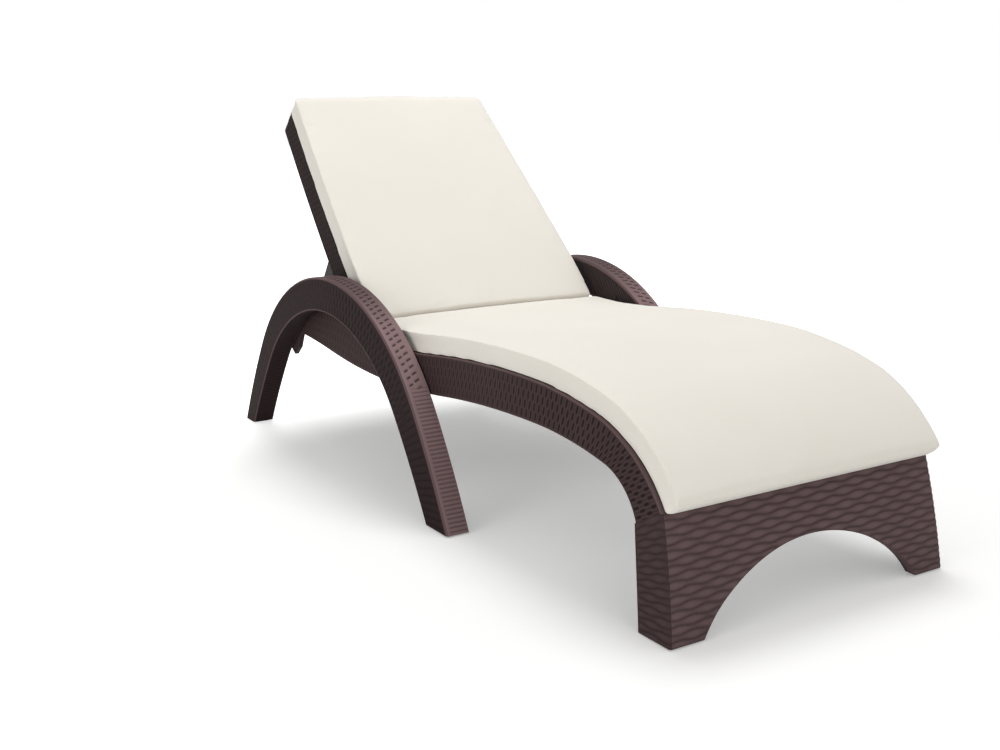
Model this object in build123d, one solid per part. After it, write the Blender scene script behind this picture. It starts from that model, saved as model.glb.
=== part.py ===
from build123d import *
import math
import os

# Sun lounger of moulded resin: a waved deck on a front leg panel and two arched arms, a backrest
# that folds flat on side pins, its prop, and two loose cushions. Millimetres. X is across, with
# 0 on the middle plane. Y runs from the foot end to the head end, Z is up from the floor.
# All pieces are drawn with Y = 0 at the front feet, and moved to the middle as they are saved.

# Overall sizes
overall_width = 750
deck_width = 636
gap = 0.3
flat_gap = 0.1
run_gap = 0.05
overrun = 20

# Side rails: the top line starts over the front panel and runs to the head end
rail_web = 10
rail_top_start = (46, 217)
rail_top_heading = 55.6
foot_bend_radius = 300
knee_bend_radius = 1009
thigh_bend_radius = 2759
hip_bend_radius = 1600
hip_flat_length = 90
shoulder_rise_radius = 169
rail_tail_radius = 900
ledge_depth = 12
ledge_width = 25
ledge_thickness = 5
ledge_start = 24
spigot_length = 22
lug_length = 18

# Underside of the rails and rear edge of the front leg
leg_depth = 80
leg_heading = 81.6
leg_straight = 160
leg_bend_radius = 125
belly_radius = 1000
belly_fall_radius = 2700
belly_hip_radius = 2200
tail_rise_radius = 2200
tail_level_radius = 2500
split_travel = 185

# Lug at the rear end of each rail
lug_corner_back = 20
lug_corner_drop = 41
lug_tip_back = 47
lug_tip_drop = 64
lug_heel_back = 100
lug_heel_drop = 30
lug_margin = 8

# Front leg panel
foot_half_width = 330
front_bulge = 4
front_wall = 8
cutout_half_width = 259
cutout_crown = 129
cutout_crown_radius = 344
cutout_crown_turn = 36.6
cutout_flange = 5
cutout_soffit = 22
foot_wall = 5
foot_clearance = 3
tongue_thickness = 8
tongue_length = 105
tongue_inset = 20
tongue_depth = 42

# Arched arms
arch_width = 52
arch_centre_y = 1183
arch_crown_height = 453
arch_crown_radius = 490
arch_crown_half_turn = 55
arch_leg_radius = 1800
arch_opening_centre_y = 1199
arch_opening_height = 376
arch_opening_radius = 425
arch_opening_half_turn = 53
arch_opening_leg_radius = 2000
arch_wall = 4
arch_cover_thickness = 3
arch_boss_radius = 12
arch_screw_angles = (-24, 0, 24)
arch_front_bolt_angles = (-47, -41)
arch_rear_bolt_angles = (38, 42.5)

# Foot glides
glide_margin = 6
glide_stem_radius = 5
front_glide_radius = 21
front_glide_x = 300
front_glide_y = 32

# Bolts and screws
bolt_radius = 4
bolt_head_radius = 7
bolt_head_height = 5
insert_radius = 6.5
insert_length = 15
bolt_reach = 14
screw_radius = 2.5
screw_head_radius = 4.5
screw_head_height = 2.5
screw_reach = 12
screw_tip_wall = 3

# Deck panels
panel_skin = 4
panel_rib = 4
panel_foot_end = 445
panel_rear_trim = 50
panel_slot_width = 9
panel_slot_length = 62
panel_slot_pitch = 26
panel_bay_count_foot = 5
panel_bay_count_seat = 7
panel_rib_columns = 4

# Cross members
tube_radius = 14
tube_wall = 2
knee_tube_y = 452
knee_tube_drop = 40
hip_tube_y = 1022
hip_tube_drop = 42
beam_front_y = 1486
beam_length = 52
beam_bottom = 268
beam_height = 16
beam_wall = 3

# Backrest: its own frame has U up along the back and V out of its front, from the hinge axis
hinge_y = 1110
hinge_z = 296
back_angle = 44.5
back_flat_angle = 5
back_front = 31
back_depth = 65
back_top = 720
back_bottom = 12
back_top_half_width = 267
back_wide_half_width = 302
back_wide_at = 160
back_bottom_half_width = 296
back_side_bow = 3
back_corner_radius = 12
back_wall = 9
back_skin = 5
back_rib = 6
back_rib_depth = 18
back_spine_x = 236
back_spine_depth = 14
back_cross_rib_count = 6
back_slot_width = 9
back_slot_margin = 16
back_slot_pitch = 24
hinge_boss_radius = 30
hinge_boss_width = 34
pin_radius = 6
pin_head_radius = 10
pin_head_height = 4
bush_shank_radius = 9
bush_flange_radius = 11.5
bush_depth = 7

# Prop behind the backrest
stay_pivot_u = 280
stay_pivot_v = -9
stay_length = 260
stay_thickness = 22
stay_pivot_outer_x = 284
stay_foot_outer_x = 267
stay_pivot_radius = 30
stay_foot_radius = 15
stay_pin_radius = 5
stay_pin_head_height = 3
stay_pin_head_radius = 9
stay_lug_radius = 14
stay_lug_thickness = 8
foot_bar_radius = 11
foot_bar_wall = 2
foot_bar_cap = 4

# Catches that hold the foot of the prop, and the pads for the flat backrest
catch_inner_x = 203
catch_width = 38
catch_horn_thickness = 9
catch_horn_rise = 5
catch_rear_margin = 4
catch_screw_margin = 9
pad_width = 11
pad_length = 40
pad_stem_radius = 3

# Cushions
cushion_gap = 0.5
seat_cushion_half_width = 316
seat_cushion_thickness = 44
seat_cushion_round = 16
seat_cushion_edge = 5
seat_cushion_crown = 4
seat_cushion_waist = 3
back_cushion_thickness = 50
back_cushion_crown = 6
back_cushion_edge = 5
back_cushion_waist = 3
back_cushion_side = 3
mitre_gap = 0.5

# Sizes that follow from the ones above
rail_outer_x = deck_width / 2
rail_inner_x = rail_outer_x - rail_web
arch_outer_x = overall_width / 2
arch_inner_x = arch_outer_x - arch_width
back_rear = back_front - back_depth


def point(y, z, x=0):
    return Vector(x, y, z)


def across(face, low, high):
    """A face in the middle plane, made a solid from one X to another."""
    return extrude(Pos(low, 0, 0) * face, amount=high - low, dir=(1, 0, 0))


def outline(corners):
    """A straight-sided face in the side view, from its corners' Y and Z."""
    return make_face([Line(point(*a), point(*b)) for a, b in zip(corners, corners[1:] + corners[:1])])


def front_outline(corners):
    """A straight-sided face in the front view, from its corners' X and Z."""
    stops = [Vector(x, 0, z) for x, z in corners]
    return make_face([Line(a, b) for a, b in zip(stops, stops[1:] + stops[:1])])


def mirrored(shape):
    return mirror(shape, about=Plane.YZ)


def box(x_low, x_high, y_low, y_high, z_low, z_high):
    corner = (Align.MIN, Align.MIN, Align.MIN)
    size = Box(x_high - x_low, y_high - y_low, z_high - z_low, align=corner)
    return Pos(x_low, y_low, z_low) * size


def rod(x_low, x_high, y, z, radius):
    """A round bar along X."""
    bar = Cylinder(radius, x_high - x_low, align=(Align.CENTER, Align.CENTER, Align.MIN))
    return Pos(x_low, y, z) * Rot(0, 90, 0) * bar


def tube(x_low, x_high, y, z, radius, wall):
    bore = rod(x_low - overrun, x_high + overrun, y, z, radius - wall)
    return rod(x_low, x_high, y, z, radius) - bore


def post(x, y, z_low, z_high, radius):
    """A round bar along Z."""
    bar = Cylinder(radius, z_high - z_low, align=(Align.CENTER, Align.CENTER, Align.MIN))
    return Pos(x, y, z_low) * bar


# Paths in the side view: a start, a heading in degrees, and stretches of (length, turn)

def bend(radius, turn):
    return (radius * math.radians(abs(turn)), turn)


def step(y, z, heading, stretch, side=0):
    """The far end of one stretch, for a line that runs a distance to its left."""
    length, turn = stretch
    start = math.radians(heading)
    if turn == 0:
        return y + length * math.cos(start), z + length * math.sin(start), heading
    radius = length / math.radians(turn) - side
    end = math.radians(heading + turn)
    y_end = y + radius * (math.sin(end) - math.sin(start))
    z_end = z - radius * (math.cos(end) - math.cos(start))
    return y_end, z_end, heading + turn


def walk(path, travel):
    """Place and heading after some travel along a path."""
    (y, z), heading, stretches = path
    for length, turn in stretches:
        if travel <= length:
            return step(y, z, heading, (travel, turn * travel / length))
        travel -= length
        y, z, heading = step(y, z, heading, (length, turn))
    return y, z, heading


def path_length(path):
    return sum(length for length, turn in path[2])


def stretch_of(path, start, end):
    """The part of a path between two travels."""
    y, z, heading = walk(path, start)
    kept = []
    passed = 0
    for length, turn in path[2]:
        low = max(start, passed)
        high = min(end, passed + length)
        if high > low:
            kept.append((high - low, turn * (high - low) / length))
        passed += length
    return ((y, z), heading, kept)


def travel_to(path, y_wanted):
    """The travel at which a path that runs towards the head end reaches a Y."""
    low, high = 0, path_length(path)
    for halving in range(60):
        middle = (low + high) / 2
        if walk(path, middle)[0] < y_wanted:
            low = middle
        else:
            high = middle
    return low


def beside(path, side):
    """A path's edges, moved to its left, with its first and last point."""
    (y, z), heading, stretches = path
    lean = math.radians(heading)
    y, z = y - side * math.sin(lean), z + side * math.cos(lean)
    first = (y, z)
    edges = []
    for length, turn in stretches:
        y_end, z_end, heading_end = step(y, z, heading, (length, turn), side)
        if turn == 0:
            edges.append(Line(point(y, z), point(y_end, z_end)))
        else:
            half = step(y, z, heading, (length / 2, turn / 2), side)
            edges.append(ThreePointArc(point(y, z), point(half[0], half[1]), point(y_end, z_end)))
        y, z, heading = y_end, z_end, heading_end
    return edges, first, (y, z)


def ribbon(path, low, high):
    """The face between two lines beside one path."""
    low_edges, low_first, low_last = beside(path, low)
    high_edges, high_first, high_last = beside(path, high)
    ends = [Line(point(*low_first), point(*high_first)), Line(point(*low_last), point(*high_last))]
    return make_face(low_edges + high_edges + ends)


top_path = (rail_top_start, rail_top_heading, [
    bend(foot_bend_radius, 12 - rail_top_heading),
    bend(knee_bend_radius, -12),
    bend(thigh_bend_radius, -7.5),
    bend(hip_bend_radius, 7.5),
    (hip_flat_length, 0),
    bend(shoulder_rise_radius, 26.3),
    bend(shoulder_rise_radius, -26.3),
    bend(rail_tail_radius, -19)])

belly_path = ((leg_depth, 0), leg_heading, [
    (leg_straight, 0),
    bend(leg_bend_radius, 12 - leg_heading),
    bend(belly_radius, -12),
    bend(belly_fall_radius, -7.2),
    bend(belly_hip_radius, 7.2),
    bend(tail_rise_radius, 7),
    bend(tail_level_radius, -4)])

deck_path = stretch_of(top_path, 0, travel_to(top_path, hinge_y - panel_rear_trim))


def front_edge(shift):
    """The leaning front of the leg panel in the side view, moved towards the head end."""
    y_top, z_top = rail_top_start
    chord = math.hypot(y_top, z_top)
    middle = (y_top / 2 - front_bulge * z_top / chord, z_top / 2 + front_bulge * y_top / chord)
    return ThreePointArc(point(shift, 0), point(middle[0] + shift, middle[1]), point(y_top + shift, z_top))


def arch_region(centre_y, crown, radius, half_turn, leg_radius, grow, floor):
    """The face under an arch: a round crown that runs on into two long legs."""
    crown += grow
    radius += grow
    leg_radius += grow
    turn = math.radians(half_turn)
    knee_y = radius * math.sin(turn)
    knee_z = crown - radius * (1 - math.cos(turn))
    foot_turn = math.acos(math.cos(turn) - (knee_z - floor) / leg_radius)
    foot_y = knee_y + leg_radius * (math.sin(foot_turn) - math.sin(turn))
    half = (turn + foot_turn) / 2
    shin_y = knee_y + leg_radius * (math.sin(half) - math.sin(turn))
    shin_z = knee_z - leg_radius * (math.cos(turn) - math.cos(half))
    edges = [ThreePointArc(point(centre_y - knee_y, knee_z), point(centre_y, crown),
                           point(centre_y + knee_y, knee_z))]
    for side in (-1, 1):
        edges.append(ThreePointArc(point(centre_y + side * knee_y, knee_z),
                                   point(centre_y + side * shin_y, shin_z),
                                   point(centre_y + side * foot_y, floor)))
    edges.append(Line(point(centre_y - foot_y, floor), point(centre_y + foot_y, floor)))
    return make_face(edges), foot_y


def arch_outer(grow, floor):
    return arch_region(arch_centre_y, arch_crown_height, arch_crown_radius,
                       arch_crown_half_turn, arch_leg_radius, grow, floor)


def arch_opening(grow, floor):
    return arch_region(arch_opening_centre_y, arch_opening_height, arch_opening_radius,
                       arch_opening_half_turn, arch_opening_leg_radius, grow, floor)


def arch_middle(angle):
    """A place on the middle of the arch's band, by its angle from upright at the crown."""
    turn = math.radians(angle)
    outer_z = arch_crown_height - arch_crown_radius
    inner_z = arch_opening_height - arch_opening_radius
    y = (arch_centre_y + arch_opening_centre_y) / 2
    y += (arch_crown_radius + arch_opening_radius) / 2 * math.sin(turn)
    z = (outer_z + inner_z) / 2 + (arch_crown_radius + arch_opening_radius) / 2 * math.cos(turn)
    return y, z


overall_length = arch_centre_y + arch_outer(0, 0)[1]
bolt_places = [arch_middle(angle) for angle in arch_front_bolt_angles + arch_rear_bolt_angles]
screw_places = [arch_middle(angle) for angle in arch_screw_angles]
knee_tube_z = walk(top_path, travel_to(top_path, knee_tube_y))[1] - knee_tube_drop
hip_tube_z = walk(top_path, travel_to(top_path, hip_tube_y))[1] - hip_tube_drop
beam_rear_y = beam_front_y + beam_length
beam_top = beam_bottom + beam_height
tube_places = [(knee_tube_y, knee_tube_z), (hip_tube_y, hip_tube_z)]

# The backrest's place, and its prop
back_place = Location((0, hinge_y, hinge_z), (back_angle, 0, 0))


def from_back(u, v, angle=back_angle):
    """A side-view place from the backrest's own frame."""
    lean = math.radians(angle)
    y = hinge_y + u * math.cos(lean) - v * math.sin(lean)
    z = hinge_z + u * math.sin(lean) + v * math.cos(lean)
    return y, z


stay_foot_y, stay_foot_z = from_back(stay_pivot_u, stay_pivot_v - stay_length)


# Frame

def rail_outline():
    top_edges, top_first, top_last = beside(top_path, 0)
    belly = stretch_of(belly_path, split_travel, path_length(belly_path))
    belly_edges, belly_first, belly_last = beside(belly, 0)
    y_end, z_end = belly_last
    corner = (y_end + lug_corner_back, z_end - lug_corner_drop)
    tip = (y_end + lug_tip_back, z_end - lug_tip_drop)
    heel = (y_end + lug_heel_back, z_end - lug_heel_drop)
    stops = [belly_last, corner, tip, heel, top_last]
    lug_edges = [Line(point(*a), point(*b)) for a, b in zip(stops, stops[1:])]
    split = Line(point(*belly_first), point(*top_first))
    face = make_face(top_edges + belly_edges + lug_edges + [split])
    far = arch_centre_y + overall_width
    rear = outline([(arch_centre_y, -overrun), (far, -overrun), (far, arch_crown_height),
                    (arch_centre_y, arch_crown_height)])
    return face - (rear - arch_outer(-lug_margin, -2 * overrun)[0])


def tongue_screw_places():
    """Two places where the leg panel is screwed to each rail."""
    places = []
    for travel in (tongue_length / 3, tongue_length * 5 / 6):
        y, z, heading = walk(top_path, travel)
        drop = tongue_inset + tongue_depth / 2
        lean = math.radians(heading)
        places.append((y + drop * math.sin(lean), z - drop * math.cos(lean)))
    return places


def side_rail():
    rail = across(rail_outline(), rail_inner_x, rail_outer_x)
    seat = stretch_of(top_path, ledge_start, path_length(deck_path))
    ledge = ribbon(seat, -ledge_depth - ledge_thickness, -ledge_depth)
    rail += across(ledge, rail_inner_x - ledge_width, rail_inner_x + rail_web / 2)
    for y, z in tube_places:
        inner = tube_radius - tube_wall - flat_gap
        rail += rod(rail_inner_x - spigot_length, rail_inner_x + rail_web / 2, y, z, inner)
    inset = beam_wall + gap
    rail += box(rail_inner_x - lug_length, rail_inner_x + rail_web / 2, beam_front_y + inset,
                beam_rear_y - inset, beam_bottom + inset, beam_top - inset)
    for y, z in bolt_places:
        rail += rod(rail_outer_x - rail_web / 2, arch_inner_x, y, z, arch_boss_radius)
        rail -= rod(rail_inner_x - overrun, arch_inner_x + overrun, y, z, bolt_radius + flat_gap)
    for y, z in tongue_screw_places():
        rail -= rod(rail_inner_x - overrun, rail_outer_x - screw_tip_wall, y, z, screw_radius + flat_gap)
    bore = bush_shank_radius + run_gap
    rail -= rod(rail_inner_x - overrun, rail_inner_x + bush_depth + flat_gap, hinge_y, hinge_z, bore)
    return rail


def leg_width_face(inset, low, high):
    """The front view of the leg panel, which spreads towards the floor."""
    slope = (foot_half_width - rail_outer_x) / rail_top_start[1]
    wide, narrow = foot_half_width - inset - slope * low, foot_half_width - inset - slope * high
    return front_outline([(-wide, low), (wide, low), (narrow, high), (-narrow, high)])


def cutout_face(grow):
    """The arched cut-out in the front view."""
    turn = math.radians(cutout_crown_turn)
    radius = cutout_crown_radius + grow
    knee_x = radius * math.sin(turn)
    knee_z = cutout_crown + grow - radius * (1 - math.cos(turn))
    foot_x = cutout_half_width + grow
    chord = math.hypot(foot_x - knee_x, knee_z)
    fall = math.atan2(knee_z, foot_x - knee_x)
    sag = chord / 2 * math.tan((fall - turn) / 2)
    middle_x = (foot_x + knee_x) / 2 + sag * math.sin(fall)
    middle_z = knee_z / 2 + sag * math.cos(fall)
    edges = [ThreePointArc((-knee_x, 0, knee_z), (0, 0, cutout_crown + grow), (knee_x, 0, knee_z))]
    for side in (-1, 1):
        edges.append(ThreePointArc((side * knee_x, 0, knee_z), (side * middle_x, 0, middle_z),
                                   (side * foot_x, 0, 0)))
        edges.append(Line((side * foot_x, 0, 0), (side * foot_x, 0, -overrun)))
    edges.append(Line((-foot_x, 0, -overrun), (foot_x, 0, -overrun)))
    return make_face(edges)


def lengthwise(face, low, high):
    """A face in the front view, made a solid from one Y to another."""
    return extrude(Pos(0, low, 0) * face, amount=high - low, dir=(0, 1, 0))


def front_slice(near, far):
    """What lies between two places behind the leaning front."""
    y_top, z_top = rail_top_start
    ends = [Line(point(near, 0), point(far, 0)), Line(point(y_top + near, z_top), point(y_top + far, z_top))]
    face = make_face([front_edge(near), front_edge(far)] + ends)
    return across(face, -foot_half_width - overrun, foot_half_width + overrun)


def front_leg_frame():
    y_top, z_top = rail_top_start
    belly = stretch_of(belly_path, 0, split_travel)
    belly_edges, belly_first, belly_last = beside(belly, 0)
    split = Line(point(*belly_last), point(*rail_top_start))
    side_face = make_face([front_edge(0), split, Line(point(0, 0), point(*belly_first))] + belly_edges)
    side_block = across(side_face, -foot_half_width - overrun, foot_half_width + overrun)
    depth = leg_depth + y_top + overrun
    body = side_block & lengthwise(leg_width_face(0, 0, z_top), -overrun, depth)
    hollow = across(make_face([front_edge(front_wall), Line(point(front_wall, 0), point(depth, 0)),
                               Line(point(depth, 0), point(depth, z_top)),
                               Line(point(depth, z_top), point(y_top + front_wall, z_top))]),
                    -foot_half_width - overrun, foot_half_width + overrun)
    body -= hollow & lengthwise(leg_width_face(rail_web, -overrun, z_top + overrun), -overrun, depth)
    rim = lengthwise(cutout_face(cutout_flange), -overrun, depth) & front_slice(0, cutout_soffit)
    body += rim & lengthwise(leg_width_face(rail_web / 2, 0, z_top), -overrun, depth)
    for side in (-1, 1):
        corners = [(cutout_half_width, 0), (foot_half_width - rail_web / 2, 0),
                   (foot_half_width - rail_web / 2, leg_depth),
                   (foot_half_width - 2 * rail_web, leg_depth), (cutout_half_width, cutout_soffit)]
        stops = [Vector(side * x, y, foot_clearance) for x, y in corners]
        sole = make_face([Line(a, b) for a, b in zip(stops, stops[1:] + stops[:1])])
        body += extrude(sole, amount=foot_wall, dir=(0, 0, 1)) & side_block
    body -= lengthwise(cutout_face(0), -overrun, depth)
    body -= box(-overall_width, overall_width, -overrun, depth, -overrun, foot_clearance)
    tongue = ribbon(stretch_of(top_path, 0, tongue_length), -tongue_inset - tongue_depth, -tongue_inset)
    lean = math.radians(rail_top_heading)
    root_start = (y_top - tongue_depth * math.cos(lean), z_top - tongue_depth * math.sin(lean))
    root_path = (root_start, rail_top_heading, [(tongue_depth, 0)])
    root = ribbon(root_path, -tongue_inset - tongue_depth, -tongue_inset) & side_face
    outer = rail_inner_x - flat_gap
    for side in (-1, 1):
        low, high = sorted((side * (outer - tongue_thickness), side * outer))
        body += across(tongue, low, high) + across(root, low, high)
        low, high = sorted((side * (outer - tongue_thickness), side * rail_outer_x))
        body += across(root, low, high)
        body -= post(side * front_glide_x, front_glide_y, 0, foot_clearance + foot_wall + overrun / 4,
                     glide_stem_radius + run_gap)
        for y, z in tongue_screw_places():
            low, high = sorted((side * (outer - tongue_thickness - overrun), side * (outer + overrun)))
            body -= rod(low, high, y, z, screw_radius + flat_gap)
    return body


def deck_panel(start, end, bays):
    """A curved, slotted panel with a deep rib round its rim and between its bays."""
    path = stretch_of(top_path, start, end)
    half_width = rail_inner_x - gap
    panel = across(ribbon(path, -ledge_depth + flat_gap, 0), -half_width, half_width)
    length = end - start
    bay = (length - panel_rib) / bays
    column = (2 * half_width - panel_rib) / panel_rib_columns
    slot_rows = int((column - panel_rib) / panel_slot_pitch)
    for row in range(bays):
        low = start + panel_rib + row * bay
        pocket_path = stretch_of(top_path, low, low + bay - panel_rib)
        middle = low + (bay - panel_rib) / 2
        reach = min(panel_slot_length, bay - 3 * panel_rib) / 2
        slot_path = stretch_of(top_path, middle - reach, middle + reach)
        for place in range(panel_rib_columns):
            left = -half_width + panel_rib + place * column
            right = left + column - panel_rib
            panel -= across(ribbon(pocket_path, -ledge_depth - overrun, -panel_skin), left, right)
            spare = (right - left - (slot_rows - 1) * panel_slot_pitch) / 2
            for slot in range(slot_rows):
                centre = left + spare + slot * panel_slot_pitch
                hole = ribbon(slot_path, -ledge_depth, overrun)
                panel -= across(hole, centre - panel_slot_width / 2, centre + panel_slot_width / 2)
    return panel


def cross_tube(y, z):
    return tube(-rail_inner_x + flat_gap, rail_inner_x - flat_gap, y, z, tube_radius, tube_wall)


def rear_cross_beam():
    end = rail_inner_x - flat_gap
    beam = box(-end, end, beam_front_y, beam_rear_y, beam_bottom, beam_top)
    beam -= box(-end - overrun, end + overrun, beam_front_y + beam_wall, beam_rear_y - beam_wall,
                beam_bottom + beam_wall, beam_top - beam_wall)
    for side in (-1, 1):
        beam -= post(side * pad_x, pad_y, beam_top - 2 * beam_wall, beam_top + overrun,
                     pad_stem_radius + run_gap)
        for x in catch_screw_xs:
            beam -= post(side * x, catch_screw_y, beam_top - 2 * beam_wall, beam_top + overrun,
                         screw_radius + flat_gap)
    return beam


# Arched arms

def arch_band(outer_grow, opening_grow, floor):
    return arch_outer(outer_grow, floor)[0] - arch_opening(opening_grow, floor - overrun)[0]


def arch_shell():
    shell = across(arch_band(0, 0, foot_clearance), arch_inner_x, arch_outer_x)
    cavity = arch_band(-arch_wall, arch_wall, foot_clearance + arch_wall)
    shell -= across(cavity, arch_inner_x - overrun, arch_outer_x - arch_wall)
    for y, z in bolt_places:
        shell += rod(arch_inner_x, arch_outer_x - arch_wall / 2, y, z, arch_boss_radius)
        shell -= rod(arch_inner_x - overrun, arch_inner_x + insert_length, y, z, insert_radius + run_gap)
        shell -= rod(arch_inner_x, arch_inner_x + insert_length + bolt_reach, y, z, bolt_radius + flat_gap)
    for y, z in screw_places:
        seat = arch_inner_x + arch_cover_thickness + flat_gap
        shell += rod(seat, arch_outer_x - arch_wall / 2, y, z, arch_boss_radius / 2)
        shell -= rod(seat - overrun, seat + screw_reach, y, z, screw_radius + flat_gap)
    for y in arch_glide_ys:
        shell -= post(arch_glide_x, y, 0, foot_clearance + arch_wall + overrun / 4,
                      glide_stem_radius + run_gap)
    return shell


def arch_cover():
    rim = arch_wall + gap
    cover = across(arch_band(-rim, rim, foot_clearance + rim), arch_inner_x,
                   arch_inner_x + arch_cover_thickness)
    for y, z in bolt_places:
        cover -= rod(arch_inner_x - overrun, arch_outer_x, y, z, arch_boss_radius + gap)
    for y, z in screw_places:
        cover -= rod(arch_inner_x - overrun, arch_outer_x, y, z, screw_radius + flat_gap)
    return cover


def arch_glide_places():
    """The middle and half length of each glide, from the width of the legs at the floor."""
    outer = arch_outer(0, 0)[1]
    opening = arch_opening(0, 0)[1]
    front = (arch_centre_y - outer, arch_opening_centre_y - opening)
    rear = (arch_opening_centre_y + opening, arch_centre_y + outer)
    return [((low + high) / 2, (high - low) / 2 - glide_margin) for low, high in (front, rear)]


arch_glide_x = (arch_inner_x + arch_outer_x) / 2
arch_glide_ys = [y for y, half in arch_glide_places()]


def arch_foot_glides():
    glides = []
    half_width = arch_width / 2 - glide_margin
    for y, half in arch_glide_places():
        pad = box(arch_glide_x - half_width, arch_glide_x + half_width, y - half, y + half, 0, foot_clearance)
        pad = fillet(pad.edges().filter_by(Axis.Z), glide_margin)
        glides.append(pad + post(arch_glide_x, y, 0, foot_clearance + arch_wall, glide_stem_radius))
    return glides + [mirrored(glide) for glide in glides]


def front_foot_glides():
    glide = post(front_glide_x, front_glide_y, 0, foot_clearance, front_glide_radius)
    glide += post(front_glide_x, front_glide_y, 0, foot_clearance + foot_wall, glide_stem_radius)
    return [glide, mirrored(glide)]


# Bolts, inserts and screws

def headed(x_head, x_tip, y, z, radius, head_radius, head_height):
    """A bolt along X, whose head lies on the near side of x_head."""
    side = 1 if x_tip > x_head else -1
    shank = rod(min(x_head, x_tip), max(x_head, x_tip), y, z, radius)
    ends = sorted((x_head, x_head - side * head_height))
    return shank + rod(ends[0], ends[1], y, z, head_radius)


def arch_bolts():
    bolts = []
    for y, z in bolt_places:
        bolt = headed(rail_inner_x, arch_inner_x + insert_length + bolt_reach - flat_gap, y, z,
                      bolt_radius, bolt_head_radius, bolt_head_height)
        bolts += [bolt, mirrored(bolt)]
    return bolts


def arch_inserts():
    inserts = []
    for y, z in bolt_places:
        ring = tube(arch_inner_x, arch_inner_x + insert_length, y, z, insert_radius,
                    insert_radius - bolt_radius - run_gap)
        inserts += [ring, mirrored(ring)]
    return inserts


def arch_cover_screws():
    screws = []
    for y, z in screw_places:
        screw = headed(arch_inner_x, arch_inner_x + arch_cover_thickness + screw_reach, y, z,
                       screw_radius, screw_head_radius, screw_head_height)
        screws += [screw, mirrored(screw)]
    return screws


def leg_joint_screws():
    screws = []
    head = rail_inner_x - flat_gap - tongue_thickness
    for y, z in tongue_screw_places():
        screw = headed(head, rail_outer_x - screw_tip_wall - flat_gap, y, z, screw_radius,
                       screw_head_radius, screw_head_height)
        screws += [screw, mirrored(screw)]
    return screws


# Backrest, drawn lying flat with the hinge axis at the origin and then tilted into place

def back_half_width(u):
    """Half the width of the backrest: widest near its foot and narrower at both ends."""
    if u < back_wide_at:
        share = (back_wide_at - u) / back_wide_at
        return back_wide_half_width + (back_bottom_half_width - back_wide_half_width) * share ** 2
    share = (u - back_wide_at) / (back_top - back_wide_at)
    straight = back_wide_half_width + (back_top_half_width - back_wide_half_width) * share
    return straight + back_side_bow * 4 * share * (1 - share)


def back_outline(inset, low):
    """The front view of the backrest, drawn in X and U."""
    top = back_top - inset
    middle = (back_wide_at + back_top) / 2
    edges = []
    for side in (-1, 1):
        def at(u):
            return (side * (back_half_width(u) - inset), u)
        if low < back_wide_at:
            edges.append(ThreePointArc(at(low), at((low + back_wide_at) / 2), at(back_wide_at)))
        edges.append(ThreePointArc(at(max(low, back_wide_at)), at(middle), at(top)))
    edges.append(Line((-back_half_width(top) + inset, top), (back_half_width(top) - inset, top)))
    edges.append(Line((-back_half_width(low) + inset, low), (back_half_width(low) - inset, low)))
    face = make_face(edges)
    corners = face.vertices().sort_by(Axis.Y)[-2:]
    return fillet(corners, max(back_corner_radius - inset, back_corner_radius / 4))


def raised(face, low, high):
    """A face in X and U, made a solid from one V to another."""
    return extrude(Pos(0, 0, low) * face, amount=high - low, dir=(0, 0, 1))


def back_shell():
    shell = raised(back_outline(0, back_bottom), back_rear, back_front)
    hollow = raised(back_outline(back_wall, back_bottom + back_wall), back_rear - overrun,
                    back_front - back_skin)
    shell -= hollow
    under = back_front - back_skin
    for side in (-1, 1):
        middle = side * back_spine_x
        shell += box(middle - back_rib / 2, middle + back_rib / 2, back_bottom, back_top - back_wall / 2,
                     under - back_spine_depth, under + back_skin / 2)
    bay = (back_top - back_wall - back_bottom) / (back_cross_rib_count + 1)
    for rib in range(back_cross_rib_count):
        u = back_bottom + back_wall / 2 + (rib + 1) * bay
        end = back_spine_x
        shell += box(-end, end, u - back_rib / 2, u + back_rib / 2, under - back_rib_depth,
                     under + back_skin / 2)
    columns = int(back_spine_x / back_slot_pitch)
    for rib in range(back_cross_rib_count + 1):
        low = back_bottom + back_wall / 2 + rib * bay + back_slot_margin
        high = low + bay - 2 * back_slot_margin
        for column in range(-columns, columns + 1):
            x = column * back_slot_pitch
            if abs(abs(x) - back_spine_x) > back_slot_width:
                shell -= box(x - back_slot_width / 2, x + back_slot_width / 2, low, high,
                             under - overrun, back_front + overrun)
    inner = back_bottom_half_width - hinge_boss_width
    for side in (-1, 1):
        ends = sorted((side * inner, side * back_bottom_half_width))
        shell += rod(ends[0], ends[1], 0, 0, hinge_boss_radius)
        shell += box(ends[0], ends[1], 0, back_bottom + back_wall, -hinge_boss_radius, hinge_boss_radius)
        bore = sorted((side * (inner - overrun), side * (back_bottom_half_width + overrun)))
        shell -= rod(bore[0], bore[1], 0, 0, pin_radius + run_gap)
        lug = sorted((side * stay_lug_inner_x, side * (stay_lug_inner_x + stay_lug_thickness)))
        shell += rod(lug[0], lug[1], stay_pivot_u, stay_pivot_v, stay_lug_radius)
        shell += box(lug[0], lug[1], stay_pivot_u - stay_lug_radius, stay_pivot_u + stay_lug_radius,
                     stay_pivot_v, under + back_skin / 2)
        hole = sorted((side * (stay_lug_inner_x - overrun), side * stay_pin_tip_x))
        shell -= rod(hole[0], hole[1], stay_pivot_u, stay_pivot_v, stay_pin_radius + run_gap)
    return back_place * shell


stay_lean_share = (stay_pivot_outer_x - stay_foot_outer_x) / stay_length
stay_arm_gap = gap + stay_lean_share * stay_lug_radius
stay_lug_inner_x = stay_pivot_outer_x - stay_thickness - stay_arm_gap - stay_lug_thickness
stay_pin_tip_x = back_half_width(stay_pivot_u) - back_wall / 3


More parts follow.
